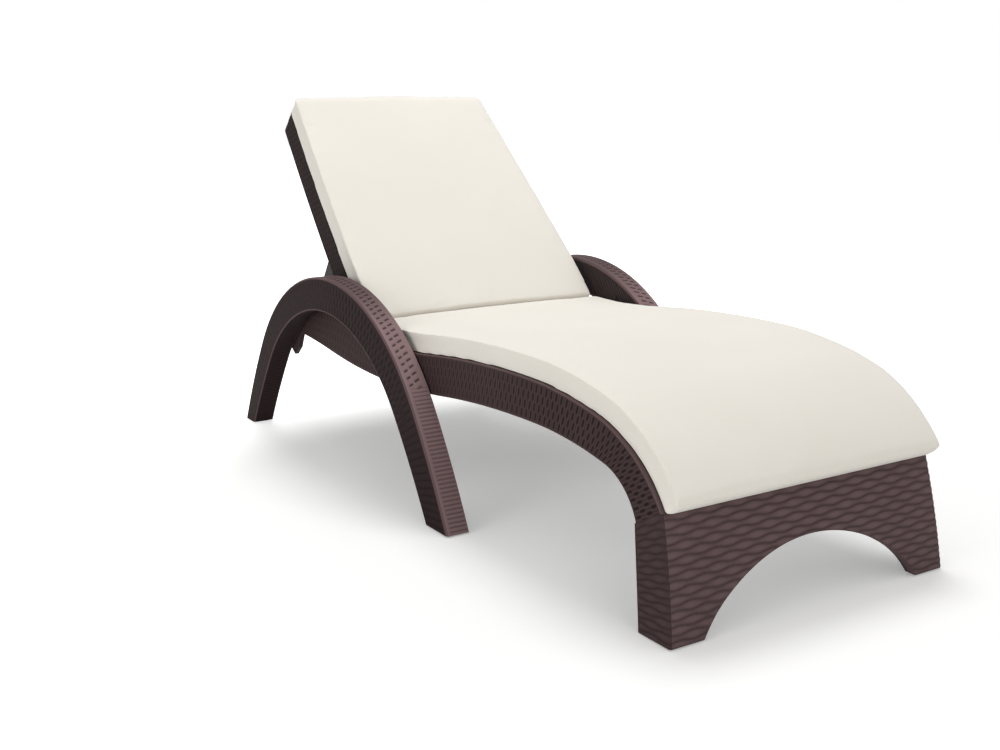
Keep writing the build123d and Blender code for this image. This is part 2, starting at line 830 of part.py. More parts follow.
def hinge_pins():
    head = back_bottom_half_width - hinge_boss_width
    pin = headed(head, rail_inner_x + bush_depth - flat_gap, hinge_y, hinge_z, pin_radius,
                 pin_head_radius, pin_head_height)
    return [pin, mirrored(pin)]


def hinge_bushes():
    bush = rod(rail_inner_x, rail_inner_x + bush_depth, hinge_y, hinge_z, bush_shank_radius)
    bush += rod(back_bottom_half_width + gap, rail_inner_x, hinge_y, hinge_z, bush_flange_radius)
    bush -= rod(back_bottom_half_width - overrun, rail_outer_x, hinge_y, hinge_z, pin_radius + run_gap)
    return [bush, mirrored(bush)]


# Prop: two arms, a foot bar with caps, and the pins that hang it in the backrest

def stay_arm():
    """Drawn in the backrest's frame, standing square out of its rear."""
    foot_v = stay_pivot_v - stay_length
    u = stay_pivot_u
    low = foot_v - stay_foot_radius
    high = stay_pivot_v + stay_pivot_radius
    wide_u, narrow_u = stay_pivot_radius, stay_foot_radius
    side_view = [(u - wide_u, stay_pivot_v), (u - narrow_u, foot_v), (u + narrow_u, foot_v),
                 (u + wide_u, stay_pivot_v)]
    arm = across(outline(side_view), 0, overall_width)
    arm += rod(0, overall_width, u, stay_pivot_v, stay_pivot_radius)
    arm += rod(0, overall_width, u, foot_v, stay_foot_radius)

    def outer_x(v):
        return stay_pivot_outer_x - stay_lean_share * min(max(stay_pivot_v - v, 0), stay_length)

    stops = [(outer_x(high), high), (outer_x(stay_pivot_v), stay_pivot_v), (outer_x(foot_v), foot_v),
             (outer_x(low), low)]
    front_view = stops + [(x - stay_thickness, v) for x, v in reversed(stops)]
    arm &= lengthwise(front_outline(front_view), u - overall_width, u + overall_width)
    arm -= rod(0, overall_width, u, stay_pivot_v, stay_pin_radius + run_gap)
    arm -= rod(0, overall_width, u, foot_v, foot_bar_radius + run_gap)
    return back_place * arm


def stay_foot_bar():
    end = stay_foot_outer_x
    return tube(-end, end, stay_foot_y, stay_foot_z, foot_bar_radius, foot_bar_wall)


def stay_foot_caps():
    end = stay_foot_outer_x
    cap = rod(end, end + foot_bar_cap, stay_foot_y, stay_foot_z, foot_bar_radius)
    plug = foot_bar_radius - foot_bar_wall - flat_gap
    cap += rod(end - stay_thickness / 2, end, stay_foot_y, stay_foot_z, plug)
    return [cap, mirrored(cap)]


def stay_pivot_pins():
    y, z = from_back(stay_pivot_u, stay_pivot_v)
    pin = headed(stay_lug_inner_x, stay_pin_tip_x - flat_gap, y, z, stay_pin_radius,
                 stay_pin_head_radius, stay_pin_head_height)
    return [pin, mirrored(pin)]


# Catches and pads on the rear beam

catch_middle_x = catch_inner_x + catch_width / 2
catch_screw_xs = (catch_middle_x - catch_width / 4, catch_middle_x + catch_width / 4)
catch_screw_y = beam_rear_y - catch_rear_margin - catch_screw_margin
catch_top = stay_foot_z - foot_bar_radius - gap
catch_seat = catch_top - screw_head_height
pad_u = (beam_front_y + beam_length / 2 - hinge_y) / math.cos(math.radians(back_flat_angle))
pad_x = back_half_width(pad_u) - back_wall / 2
pad_y = beam_front_y + beam_length / 2


def catch():
    """A block on the beam: a flat seat under the foot bar, and a horn in front of it."""
    horn_rear = stay_foot_y - foot_bar_radius - gap
    front = horn_rear - catch_horn_thickness
    rear = beam_rear_y - catch_rear_margin
    horn_top = stay_foot_z + catch_horn_rise
    block = box(catch_inner_x, catch_inner_x + catch_width, front, rear, beam_top, catch_top)
    block += box(catch_inner_x, catch_inner_x + catch_width, front, horn_rear, beam_top, horn_top)
    for x in catch_screw_xs:
        block -= post(x, catch_screw_y, beam_top - overrun, catch_top + overrun, screw_radius + flat_gap)
        block -= post(x, catch_screw_y, catch_seat, catch_top + overrun, screw_head_radius + flat_gap)
    return block


def catch_screws():
    screws = []
    for x in catch_screw_xs:
        screw = post(x, catch_screw_y, beam_top - beam_wall - screw_radius, catch_seat, screw_radius)
        screw += post(x, catch_screw_y, catch_seat, catch_top, screw_head_radius)
        screws += [screw, mirrored(screw)]
    return screws


def flat_stop_pads():
    """Rubber pads whose sloped tops meet the side walls of the flat backrest."""
    lean = math.radians(back_flat_angle)
    corners = []
    for y in (pad_y - pad_length / 2, pad_y + pad_length / 2):
        u = (y - hinge_y + back_rear * math.sin(lean)) / math.cos(lean)
        corners.append((y, hinge_z + u * math.sin(lean) + back_rear * math.cos(lean) - gap))
    stops = [(corners[0][0], beam_top), (corners[1][0], beam_top), corners[1], corners[0]]
    pad = across(outline(stops), pad_x - pad_width / 2, pad_x + pad_width / 2)
    pad += post(pad_x, pad_y, beam_top - beam_wall, beam_top + beam_wall, pad_stem_radius)
    return [pad, mirrored(pad)]


# Cushions: lofts through sections that are crowned on top and drawn in at the sides

def cushion_section(half_width, bottom, top, crown, waist, edge):
    """One closed section, in X and height above what the cushion lies on."""
    middle = (bottom + top) / 2
    edges = [Line((-half_width + edge, bottom), (half_width - edge, bottom))]
    for side in (-1, 1):
        edges.append(ThreePointArc((side * (half_width - edge), bottom),
                                   (side * (half_width - edge * 0.3), bottom + edge * 0.3),
                                   (side * half_width, bottom + edge)))
        edges.append(ThreePointArc((side * half_width, bottom + edge),
                                   (side * (half_width - waist), middle), (side * half_width, top - edge)))
        edges.append(ThreePointArc((side * half_width, top - edge),
                                   (side * (half_width - edge * 0.3), top - edge * 0.3),
                                   (side * (half_width - edge), top)))
    edges.append(ThreePointArc((-half_width + edge, top), (0, top + crown), (half_width - edge, top)))
    return make_face(edges)


foot_round_shares = (0, 0.2, 0.55, 1)
foot_drop_shares = (0.2, 0.09, 0.02, 0)
back_station_shares = (0, 0.1, 0.2, 0.3, 0.4, 0.5, 0.6, 0.7, 0.8, 0.9, 0.975, 0.992, 1)
back_drop_shares = (0, 0, 0, 0, 0, 0, 0, 0, 0, 0, 0, 0.04, 0.12)


def section_plane(y, z, heading):
    """A plane square to a path, whose second axis points to the path's left."""
    lean = math.radians(heading)
    return Plane(origin=(0, y, z), x_dir=(1, 0, 0), z_dir=(0, -math.cos(lean), -math.sin(lean)))


def swept(path, face):
    """A section carried along a path: turned about the middle of each arc, or drawn out straight."""
    (y, z), heading, stretches = path
    solid = None
    for length, turn in stretches:
        section = section_plane(y, z, heading) * face
        lean = math.radians(heading)
        if turn == 0:
            piece = extrude(section, amount=length, dir=(0, math.cos(lean), math.sin(lean)))
        else:
            radius = length / math.radians(turn)
            centre = (0, y - radius * math.sin(lean), z + radius * math.cos(lean))
            axis = Axis(centre, (math.copysign(1, turn), 0, 0))
            piece = revolve(section, axis, abs(turn))
        solid = piece if solid is None else solid + piece
        y, z, heading = step(y, z, heading, (length, turn))
    return solid


def mitre_cut(behind):
    """A block on one side of the slanted plane where the two cushions meet, through the hinge axis."""
    u, v = back_bottom - back_wall / 6, back_front
    lean = math.degrees(math.atan2(v, u)) + back_angle
    reach = overall_width
    if behind:
        block = box(-reach, reach, -mitre_gap / 2, reach, -reach, reach)
    else:
        block = box(-reach, reach, -reach, mitre_gap / 2, -reach, reach)
    return Location((0, hinge_y, hinge_z), (lean - 90, 0, 0)) * block


def seat_cushion():
    thickness = seat_cushion_thickness
    top = cushion_gap + thickness
    section = cushion_section(seat_cushion_half_width, cushion_gap, top, seat_cushion_crown,
                              seat_cushion_waist, seat_cushion_edge)
    main = swept(stretch_of(top_path, seat_cushion_round, travel_to(top_path, hinge_y)), section)
    sections = []
    for share, drop_share in zip(foot_round_shares, foot_drop_shares):
        drop = drop_share * thickness
        plane = section_plane(*walk(top_path, share * seat_cushion_round))
        face = cushion_section(seat_cushion_half_width - drop, cushion_gap + drop, top - drop,
                               seat_cushion_crown, seat_cushion_waist, seat_cushion_edge)
        sections.append(plane * face)
    return main + loft(sections, ruled=True) - mitre_cut(True)


def back_cushion():
    sections = []
    for share, drop_share in zip(back_station_shares, back_drop_shares):
        u = share * back_top
        drop = drop_share * back_cushion_thickness
        face = cushion_section(back_half_width(u) + back_cushion_side - drop, cushion_gap + drop,
                               back_cushion_thickness - drop, back_cushion_crown,
                               back_cushion_waist, back_cushion_edge)
        sections.append(section_plane(u, back_front, 0) * face)
    return back_place * loft(sections, ruled=True) - mitre_cut(False)


# Saving

def save(name, pieces):
    if not isinstance(pieces, list):
        pieces = [pieces]
    solids = [solid for piece in pieces for solid in piece.solids()]
    shape = solids[0] if len(solids) == 1 else Compound(children=solids)
    export_step(Pos(0, -overall_length / 2, 0) * shape, f"parts/{name}.step")


os.makedirs("parts", exist_ok=True)

knee_travel = travel_to(top_path, panel_foot_end)
pairs = {"side_rail": side_rail(), "arch_shell": arch_shell(), "arch_cover": arch_cover(),
         "stay_arm": stay_arm(), "catch": catch()}
for name, piece in pairs.items():
    save(name + "_right", piece)
    save(name + "_left", mirrored(piece))

save("front_leg_frame", front_leg_frame())
save("front_foot_glides", front_foot_glides())
save("arch_foot_glides", arch_foot_glides())
save("deck_foot_panel", deck_panel(ledge_start / 3, knee_travel - gap, panel_bay_count_foot))
save("deck_seat_panel", deck_panel(knee_travel + gap, path_length(deck_path), panel_bay_count_seat))
save("knee_cross_tube", cross_tube(*tube_places[0]))
save("hip_cross_tube", cross_tube(*tube_places[1]))
save("rear_cross_beam", rear_cross_beam())
save("arch_bolts", arch_bolts())
save("arch_inserts", arch_inserts())
save("arch_cover_screws", arch_cover_screws())
save("leg_joint_screws", leg_joint_screws())
save("catch_screws", catch_screws())
save("flat_stop_pads", flat_stop_pads())
save("hinge_pins", hinge_pins())
save("hinge_bushes", hinge_bushes())
save("back_shell", back_shell())
save("stay_foot_bar", stay_foot_bar())
save("stay_foot_caps", stay_foot_caps())
save("stay_pivot_pins", stay_pivot_pins())
save("seat_cushion", seat_cushion())
save("back_cushion", back_cushion())
print("length", round(overall_length, 1), "prop foot", round(stay_foot_y, 1), round(stay_foot_z, 1))
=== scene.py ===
import math

import bpy
import numpy as np
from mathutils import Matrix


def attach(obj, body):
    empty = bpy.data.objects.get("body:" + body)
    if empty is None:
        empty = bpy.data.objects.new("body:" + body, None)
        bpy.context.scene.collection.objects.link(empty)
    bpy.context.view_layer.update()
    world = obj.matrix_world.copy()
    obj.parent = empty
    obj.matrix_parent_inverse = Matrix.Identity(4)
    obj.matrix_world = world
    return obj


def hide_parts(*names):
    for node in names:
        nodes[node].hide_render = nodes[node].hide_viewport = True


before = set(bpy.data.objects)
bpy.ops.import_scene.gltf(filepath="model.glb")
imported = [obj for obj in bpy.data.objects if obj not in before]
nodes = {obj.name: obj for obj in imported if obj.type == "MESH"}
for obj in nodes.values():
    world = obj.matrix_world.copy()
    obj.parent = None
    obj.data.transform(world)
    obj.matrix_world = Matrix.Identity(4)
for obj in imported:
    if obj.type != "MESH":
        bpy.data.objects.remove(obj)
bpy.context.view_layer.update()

MM = 0.001
HALF_LENGTH = 864.05

# Sizes in millimetres, with Y from the front feet as on the drawing

RAIL_INNER, RAIL_OUTER = 308, 318
ARCH_INNER, ARCH_OUTER = 323, 375
HINGE_Y, HINGE_Z = 1110, 296
BACK_ANGLE = math.radians(44.5)
PROUD = 0.6
BURIED = -1.3
FLOOR_GAP = 3
RAIL_PITCH = 16.0
PANEL_TOP = 217
PANEL_DEPTH_END = 185

# How pale the strands are painted on each face, from 0 for the colour of a groove. These tones are painted light and
# shade on one resin: the arches' sides, the rails, the panel's returns and the backrest's edge are painted darker
# than the lit rim, as painted shade.
SIDE_PAINTED_SHADE = 0.12
RAIL_PAINTED_SHADE = 0.34
RETURN_PAINTED_SHADE = 0.38
BACK_PAINTED_SHADE = 0.13


# Lines of the frame, traced as a run of bends

class Line:
    """Runs of (radius, turn in degrees), or (length, 0) for a straight one, from a start and a heading."""

    def __init__(self, start, heading, runs, begin=0.0, end=None, steps=400):
        y, z = [start[0]], [start[1]]
        angle = [math.radians(heading)]
        travel = [0.0]
        for size, turn in runs:
            length = abs(math.radians(turn)) * size if turn else size
            part = length / steps
            bend = math.radians(turn) / steps
            for _ in range(steps):
                middle = angle[-1] + bend / 2
                chord = part if not turn else 2 * size * math.sin(abs(bend) / 2)
                y.append(y[-1] + chord * math.cos(middle))
                z.append(z[-1] + chord * math.sin(middle))
                angle.append(angle[-1] + bend)
                travel.append(travel[-1] + part)
        self.travel, self.y, self.z, self.angle = map(np.array, (travel, y, z, angle))
        self.begin = begin
        self.end = self.travel[-1] if end is None else end
        self.length = self.end - self.begin

    def at(self, shares):
        """Points and headings at shares of the used length."""
        travel = self.begin + shares * self.length
        return (np.interp(travel, self.travel, self.y), np.interp(travel, self.travel, self.z),
                np.interp(travel, self.travel, self.angle))

    def travel_at_y(self, y):
        return float(np.interp(y, self.y, self.travel))


def leg_and_crown(centre_y, crown_z, crown_radius, half_turn, leg_radius):
    """An arch line from its front foot on the floor over the crown to its rear foot."""
    lean = math.radians(half_turn)
    centre_z = crown_z - crown_radius
    join = (centre_y - crown_radius * math.sin(lean), centre_z + crown_radius * math.cos(lean))
    far = (join[0] + leg_radius * math.sin(lean), join[1] - leg_radius * math.cos(lean))
    foot_y = far[0] - math.sqrt(leg_radius ** 2 - far[1] ** 2)
    heading = math.degrees(math.atan2(far[0] - foot_y, -far[1]))
    leg_turn = heading - half_turn
    return Line((foot_y, 0), heading, [(leg_radius, -leg_turn), (crown_radius, -2 * half_turn),
                                       (leg_radius, -leg_turn)])


arch_top = leg_and_crown(1183, 453, 490, 55, 1800)
arch_under = leg_and_crown(1199, 376, 425, 53, 2000)
rail_top = Line((46, 217), 55.6, [(300, -43.6), (1009, -12), (2759, -7.5), (1600, 7.5), (90, 0), (169, 26.3),
                                  (169, -26.3), (900, -19)])
rail_top.end = rail_top.travel_at_y(1505)
rail_top.length = rail_top.end
rail_belly = Line((80, 0), 81.6, [(160, 0), (125, -69.6), (1000, -12), (2700, -7.2), (2200, 7.2), (2200, 7),
                                  (2500, -4)], begin=PANEL_DEPTH_END)


# Mesh work

def clear_selection():
    if bpy.context.object and bpy.context.object.mode != "OBJECT":
        bpy.ops.object.mode_set(mode="OBJECT")
    bpy.ops.object.select_all(action="DESELECT")


def take(piece):
    clear_selection()
    piece.select_set(True)
    bpy.context.view_layer.objects.active = piece


def apply_modifiers(piece):
    take(piece)
    for modifier in list(piece.modifiers):
        bpy.ops.object.modifier_apply(modifier=modifier.name)


def grid(name, rows, columns):
    """A flat grid with its first row along X, ready to be shaped."""
    clear_selection()
    bpy.ops.mesh.primitive_grid_add(x_subdivisions=columns - 1, y_subdivisions=rows - 1, size=1)
    piece = bpy.context.object
    piece.name = name
    piece.data.name = name
    return piece


def shape(piece, points, crest, pattern):
    """Moves the grid's points to their places, in millimetres, and keeps the strands' painted tone there, which
    holds painted light and shade.
    """
    mesh = piece.data
    points = np.array(points, dtype=float).reshape(-1, 3)
    points[:, 1] -= HALF_LENGTH
    mesh.vertices.foreach_set("co", (points * MM).ravel())
    height = mesh.attributes.new("crest", "FLOAT", "POINT")
    height.data.foreach_set("value", np.array(crest, dtype=float).ravel())
    corner = np.zeros(len(mesh.loops), dtype=int)
    mesh.loops.foreach_get("vertex_index", corner)
    uv = mesh.uv_layers[0]
    uv.name = "weave"
    uv.data.foreach_set("uv", (np.array(pattern, dtype=float).reshape(-1, 2)[corner] * MM).ravel())
    mesh.update()


def close(piece):
    """Welds the seam of a rolled grid, fills its two ends and turns all faces outwards."""
    take(piece)
    bpy.ops.object.mode_set(mode="EDIT")
    bpy.ops.mesh.select_all(action="SELECT")
    bpy.ops.mesh.remove_doubles(threshold=0.02 * MM)
    bpy.ops.mesh.fill_holes(sides=0)
    bpy.ops.mesh.select_all(action="SELECT")
    bpy.ops.mesh.normals_make_consistent(inside=False)
    bpy.ops.object.mode_set(mode="OBJECT")
    bpy.ops.object.shade_smooth_by_angle(angle=math.radians(50))


def finish_piece(piece, body, finish):
    piece.data.materials.clear()
    piece.data.materials.append(finish)
    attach(piece, body)


# Weave relief. A strand stands 1 high and a groove 0. Travel is the way along a band in millimetres. Each relief
# also gives the strands' painted tone, with its grooves darker as painted shade.

RIB_COUNT = 166
RIB_SAMPLES = 6
WEAVE_PITCH = 17.2


def smooth(value, low, high):
    share = np.clip((value - low) / (high - low), 0, 1)
    return share * share * (3 - 2 * share)


def groove(travel, pitch, half_width, middle=0.0):
    """1 in the middle of each groove between two strands, and 0 on the strands."""
    part = np.abs((travel - middle + pitch / 2) % pitch - pitch / 2)
    return 1 - smooth(part, half_width * 0.3, half_width)


def stretch_of(value, low, high, ease):
    """1 between two limits and 0 outside them."""
    return smooth(value, low, low + ease) * (1 - smooth(value, high - ease, high))


def band(name, top, under, rings, stations, side):
    """A grid rolled round a band between two lines. Each station is (line share, X, how proud, relief, push)."""
    share = np.linspace(0, 1, rings)
    travel = share * top.length
    ty, tz, ta = top.at(share)
    uy, uz, ua = under.at(share)
    points = np.zeros((rings, len(stations) + 1, 3))
    crest = np.zeros((rings, len(stations) + 1))
    pattern = np.zeros((rings, len(stations) + 1, 2))
    across = 0.0
    last = None
    for column, station in enumerate(list(stations) + [stations[0]]):
        part, x, proud, relief, push = station
        # Each relief gives the strands' height and their painted tone, with its painted shade; a plain station gets
        # a tone of 0.6.
        height, shown = relief(travel, share) if relief else (np.zeros(rings), np.full(rings, 0.6))
        lift = proud + (height if push == "normal" else 0)
        y = (1 - part) * (ty - np.sin(ta) * lift) + part * (uy + np.sin(ua) * lift)
        z = (1 - part) * (tz + np.cos(ta) * lift) + part * (uz - np.cos(ua) * lift)
        points[:, column, 0] = side * (x + (height if push == "side" else 0))
        points[:, column, 1] = y
        points[:, column, 2] = np.maximum(z, FLOOR_GAP)
        crest[:, column] = shown
        if last is not None:
            across += math.hypot(x - last[0], float(np.mean(np.hypot(y - last[1], z - last[2]))))
        last = (x, y, z)
        pattern[:, column, 0] = travel
        pattern[:, column, 1] = across
    piece = grid(name, rings, len(stations) + 1)
    shape(piece, points, crest, pattern)
    close(piece)
    return piece


# Arches

def rim_relief(across):
    """Fine ribs on the leg. Higher up, two rows of slanting gaps between broad strands, inside a plain border."""
    def relief(travel, share):
        rim = stretch_of(across, 0.5, 43.5, 2.0)
        woven = stretch_of(share, 0.205, 0.795, 0.012)
        fine = groove(travel, arch_top.length / RIB_COUNT, 2.2)
        gap = np.zeros(len(travel))
        for first, last, middle in ((12.5, 27.5, 1.5), (30.0, 42.5, 0.0)):
            slanted = groove(travel + 0.45 * across, WEAVE_PITCH, 4.0, middle)
            gap = np.maximum(gap, slanted * stretch_of(across, first, last, 2.5))
        high = 1 - rim * ((1 - woven) * 0.4 * fine + woven * (0.7 * gap + 0.12 * fine * (1 - gap)))
        # Painted light and shade on the rim's colour only: a little paler from partway up each leg, and much darker
        # over the crown as painted shade.
        painted_shading = 1 + 0.1 * stretch_of(share, 0.17, 0.83, 0.05) - 0.56 * stretch_of(share, 0.26, 0.74, 0.2)
        return 1.5 * high, painted_shading * high
    return relief


def side_relief(depth_share):
    """Strands across the side of an arch, in staggered rows that fade out over the crown."""
    def relief(travel, share):
        inside = stretch_of(depth_share, 0.04, 0.97, 0.05)
        row = np.floor((depth_share - 0.08) / 0.29)
        rows = 1 - smooth(abs((depth_share - 0.08) / 0.29 % 1 - 0.5), 0.3, 0.5)
        low_leg = 1 - smooth(share, 0.12, 0.24)
        calm = 1 - 0.72 * stretch_of(share, 0.40, 1.4, 0.12)
        long = groove(travel + 6 * depth_share, WEAVE_PITCH, 4.0)
        short = groove(travel + 5 * depth_share, WEAVE_PITCH, 4.2, (row % 2) * WEAVE_PITCH / 2) * rows
        high = 1 - inside * calm * (low_leg * 0.7 * long + (1 - low_leg) * 0.85 * short)
        return 0.9 * high, SIDE_PAINTED_SHADE * high
    return relief


def under_relief(across):
    def relief(travel, share):
        inside = stretch_of(across, 0, 52, 3)
        high = 1 - inside * groove(travel, arch_top.length / RIB_COUNT, 2.2)
        # The underside's tone of 0.22 is painted shade under the arch.
        return 0.6 * high * inside, 0.22 * high
    return relief


def arch_stations():
    inner, outer = ARCH_INNER - PROUD, ARCH_OUTER + PROUD
    turn = 1.5
    stations = [(0, inner, -5.0, None, None)]
    stations += [(0, inner + turn - turn * math.cos(a), PROUD - turn + turn * math.sin(a), None, None)
                 for a in (0, math.pi / 4)]
    for across in (1, 2.6, 7, 11.5, 13, 15, 18, 21, 24, 26, 28, 29.5, 31, 33, 36, 39, 41, 42.7, 44, 46, 49.2):
        stations.append((0, ARCH_INNER + across, PROUD, rim_relief(across), "normal"))
    turn = 2.2
    for step in range(4):
        a = math.radians(30 * step)
        rise = PROUD + 1 - step / 3
        stations.append((0, outer - turn + turn * math.sin(a), rise - turn + turn * math.cos(a), None, None))
    for depth in (0.05, 0.08, 0.12, 0.17, 0.22, 0.28, 0.33, 0.36, 0.39, 0.44, 0.50,
                  0.56, 0.61, 0.65, 0.68, 0.73, 0.79, 0.85, 0.90, 0.94, 0.965):
        stations.append((depth, outer, 0, side_relief(depth), "side"))
    turn = 1.5
    for step in range(3):
        a = math.radians(45 * step)
        stations.append((1, outer - turn + turn * math.cos(a), PROUD - turn + turn * math.sin(a), None, None))
    for across in (48.5, 44, 36, 26, 16, 8, 3.5):
        stations.append((1, ARCH_INNER + across, PROUD, under_relief(across), "normal"))
    for step in range(3):
        a = math.radians(45 * step)
        stations.append((1, inner + turn - turn * math.sin(a), PROUD - turn + turn * math.cos(a), None, None))
    stations.append((1, inner, -5.0, None, None))
    inner, outer = ARCH_INNER - BURIED, ARCH_OUTER + BURIED
    stations.append((1, inner, -5.0, None, None))
    stations.append((1, inner, BURIED, None, None))
    stations.append((1, outer, BURIED, None, None))
    stations += [(depth, outer, 0, None, None) for depth in (0.75, 0.5, 0.25)]
    stations.append((0, outer, BURIED, None, None))
    stations.append((0, inner, BURIED, None, None))
    stations.append((0, inner, -5.0, None, None))
    return stations


# Side rails

RAIL_ROWS = 4


def rail_relief(depth_share):
    """Upright strands in staggered rows, between a plain edge above and one below."""
    def relief(travel, share):
        inside = stretch_of(depth_share, 0.01, 0.96, 0.03)
        place = (depth_share - 0.03) * RAIL_ROWS / 0.92
        rows = 1 - smooth(abs(place % 1 - 0.5), 0.34, 0.5)
        lean = travel + 26 * depth_share * smooth(share, 0.06, 0.14) * (1 - smooth(share, 0.26, 0.42))
        short = groove(lean, RAIL_PITCH, 4.0, (np.floor(place) % 2) * RAIL_PITCH / 2) * rows
        long = groove(lean, RAIL_PITCH / 2, 2.0)
        high = 1 - inside * np.maximum((0.85 - 0.35 * smooth(share, 0.2, 0.4)) * short, 0.35 * long)
        return 0.95 * high, RAIL_PAINTED_SHADE * high
    return relief


def rail_stations():
    outer = RAIL_OUTER + PROUD
    turn = 1.6
    stations = [(0, RAIL_INNER + 1, PROUD, None, None), (0, outer - 5, PROUD, None, None)]
    for step in range(4):
        a = math.radians(30 * step)
        stations.append((0, outer - turn + turn * math.sin(a), PROUD - turn + turn * math.cos(a), None, None))
    for depth in [0.015] + [0.03 + 0.92 * (row + part) / RAIL_ROWS for row in range(RAIL_ROWS)
                            for part in (0, 0.1, 0.2, 0.4, 0.6, 0.8, 0.9)] + [0.95, 0.965, 0.98]:
        stations.append((depth, outer, 0, rail_relief(depth), "side"))
    for step in range(4):
        a = math.radians(30 * step)
        stations.append((1, outer - turn + turn * math.cos(a), PROUD - turn + turn * math.sin(a), None, None))
    stations += [(1, outer - 5, PROUD, None, None), (1, RAIL_INNER + 1, PROUD, None, None)]
    stations += [(1, RAIL_INNER + 1, BURIED, None, None), (1, RAIL_OUTER + BURIED, BURIED, None, None)]
    stations += [(depth, RAIL_OUTER + BURIED, 0, None, None) for depth in (0.8, 0.6, 0.4, 0.2)]
    stations += [(0, RAIL_OUTER + BURIED, BURIED, None, None), (0, RAIL_INNER + 1, BURIED, None, None)]
    return stations


# Front leg panel

ROW_PITCH = 12.05
PANEL_RELIEF = 2.1
RETURN_RELIEF = 1.3
# Painted tone of the panel's face: darker than the rim and paler than its returns, as painted light and shade.
PANEL_PAINTED_SHADE = 0.65
OVER_PITCH = 62
PANEL_LEAN = 46
PANEL_SWELL = 4
CUT_HALF_WIDTH, CUT_TOP, CUT_RADIUS = 259, 129, 344


def front_y(z):
    """The panel's face leans back and swells forward by a little."""
    share = z / PANEL_TOP
    return PANEL_LEAN * share - PANEL_SWELL * 4 * share * (1 - share)


def panel_half_width(z):
    return 330 - 12 * z / PANEL_TOP


def cutout_z(x):
    """Height of the cut-out's edge over the floor, or 0 beside it."""
    x = abs(x)
    turn = math.radians(36.6)
    low = CUT_TOP - CUT_RADIUS * (1 - math.cos(turn))
    edge = CUT_RADIUS * math.sin(turn)
    if x <= edge:
        return CUT_TOP - CUT_RADIUS + math.sqrt(CUT_RADIUS ** 2 - x ** 2)
    reach = CUT_HALF_WIDTH - edge
    # The tangent arc from the crown's end to the foot turns by its own radius
    chord = math.atan2(low, reach)
    total = 2 * (chord - turn)
    radius = math.hypot(low, reach) / (2 * math.sin(total / 2))
    centre_x = edge - radius * math.sin(turn)
    centre_z = low - radius * math.cos(turn)
    if x >= CUT_HALF_WIDTH:
        return 0.0
    return centre_z + math.sqrt(max(radius ** 2 - (x - centre_x) ** 2, 0))


def panel_relief(along, z):
    """Rows of flat strands that pass over and under in turn."""
    row = z / ROW_PITCH
    row = row + 0.13 * np.cos(2 * np.pi * along / OVER_PITCH) * np.cos(np.pi * row)
    count = np.floor(row)
    part = row - count
    profile = np.sin(np.pi * np.clip(part, 0, 1) ** 1.15) ** 0.6
    swell = 0.5 + 0.5 * np.cos(2 * np.pi * (along / OVER_PITCH + 0.5 * count))
    return profile * (0.68 + 0.32 * swell ** 0.8)


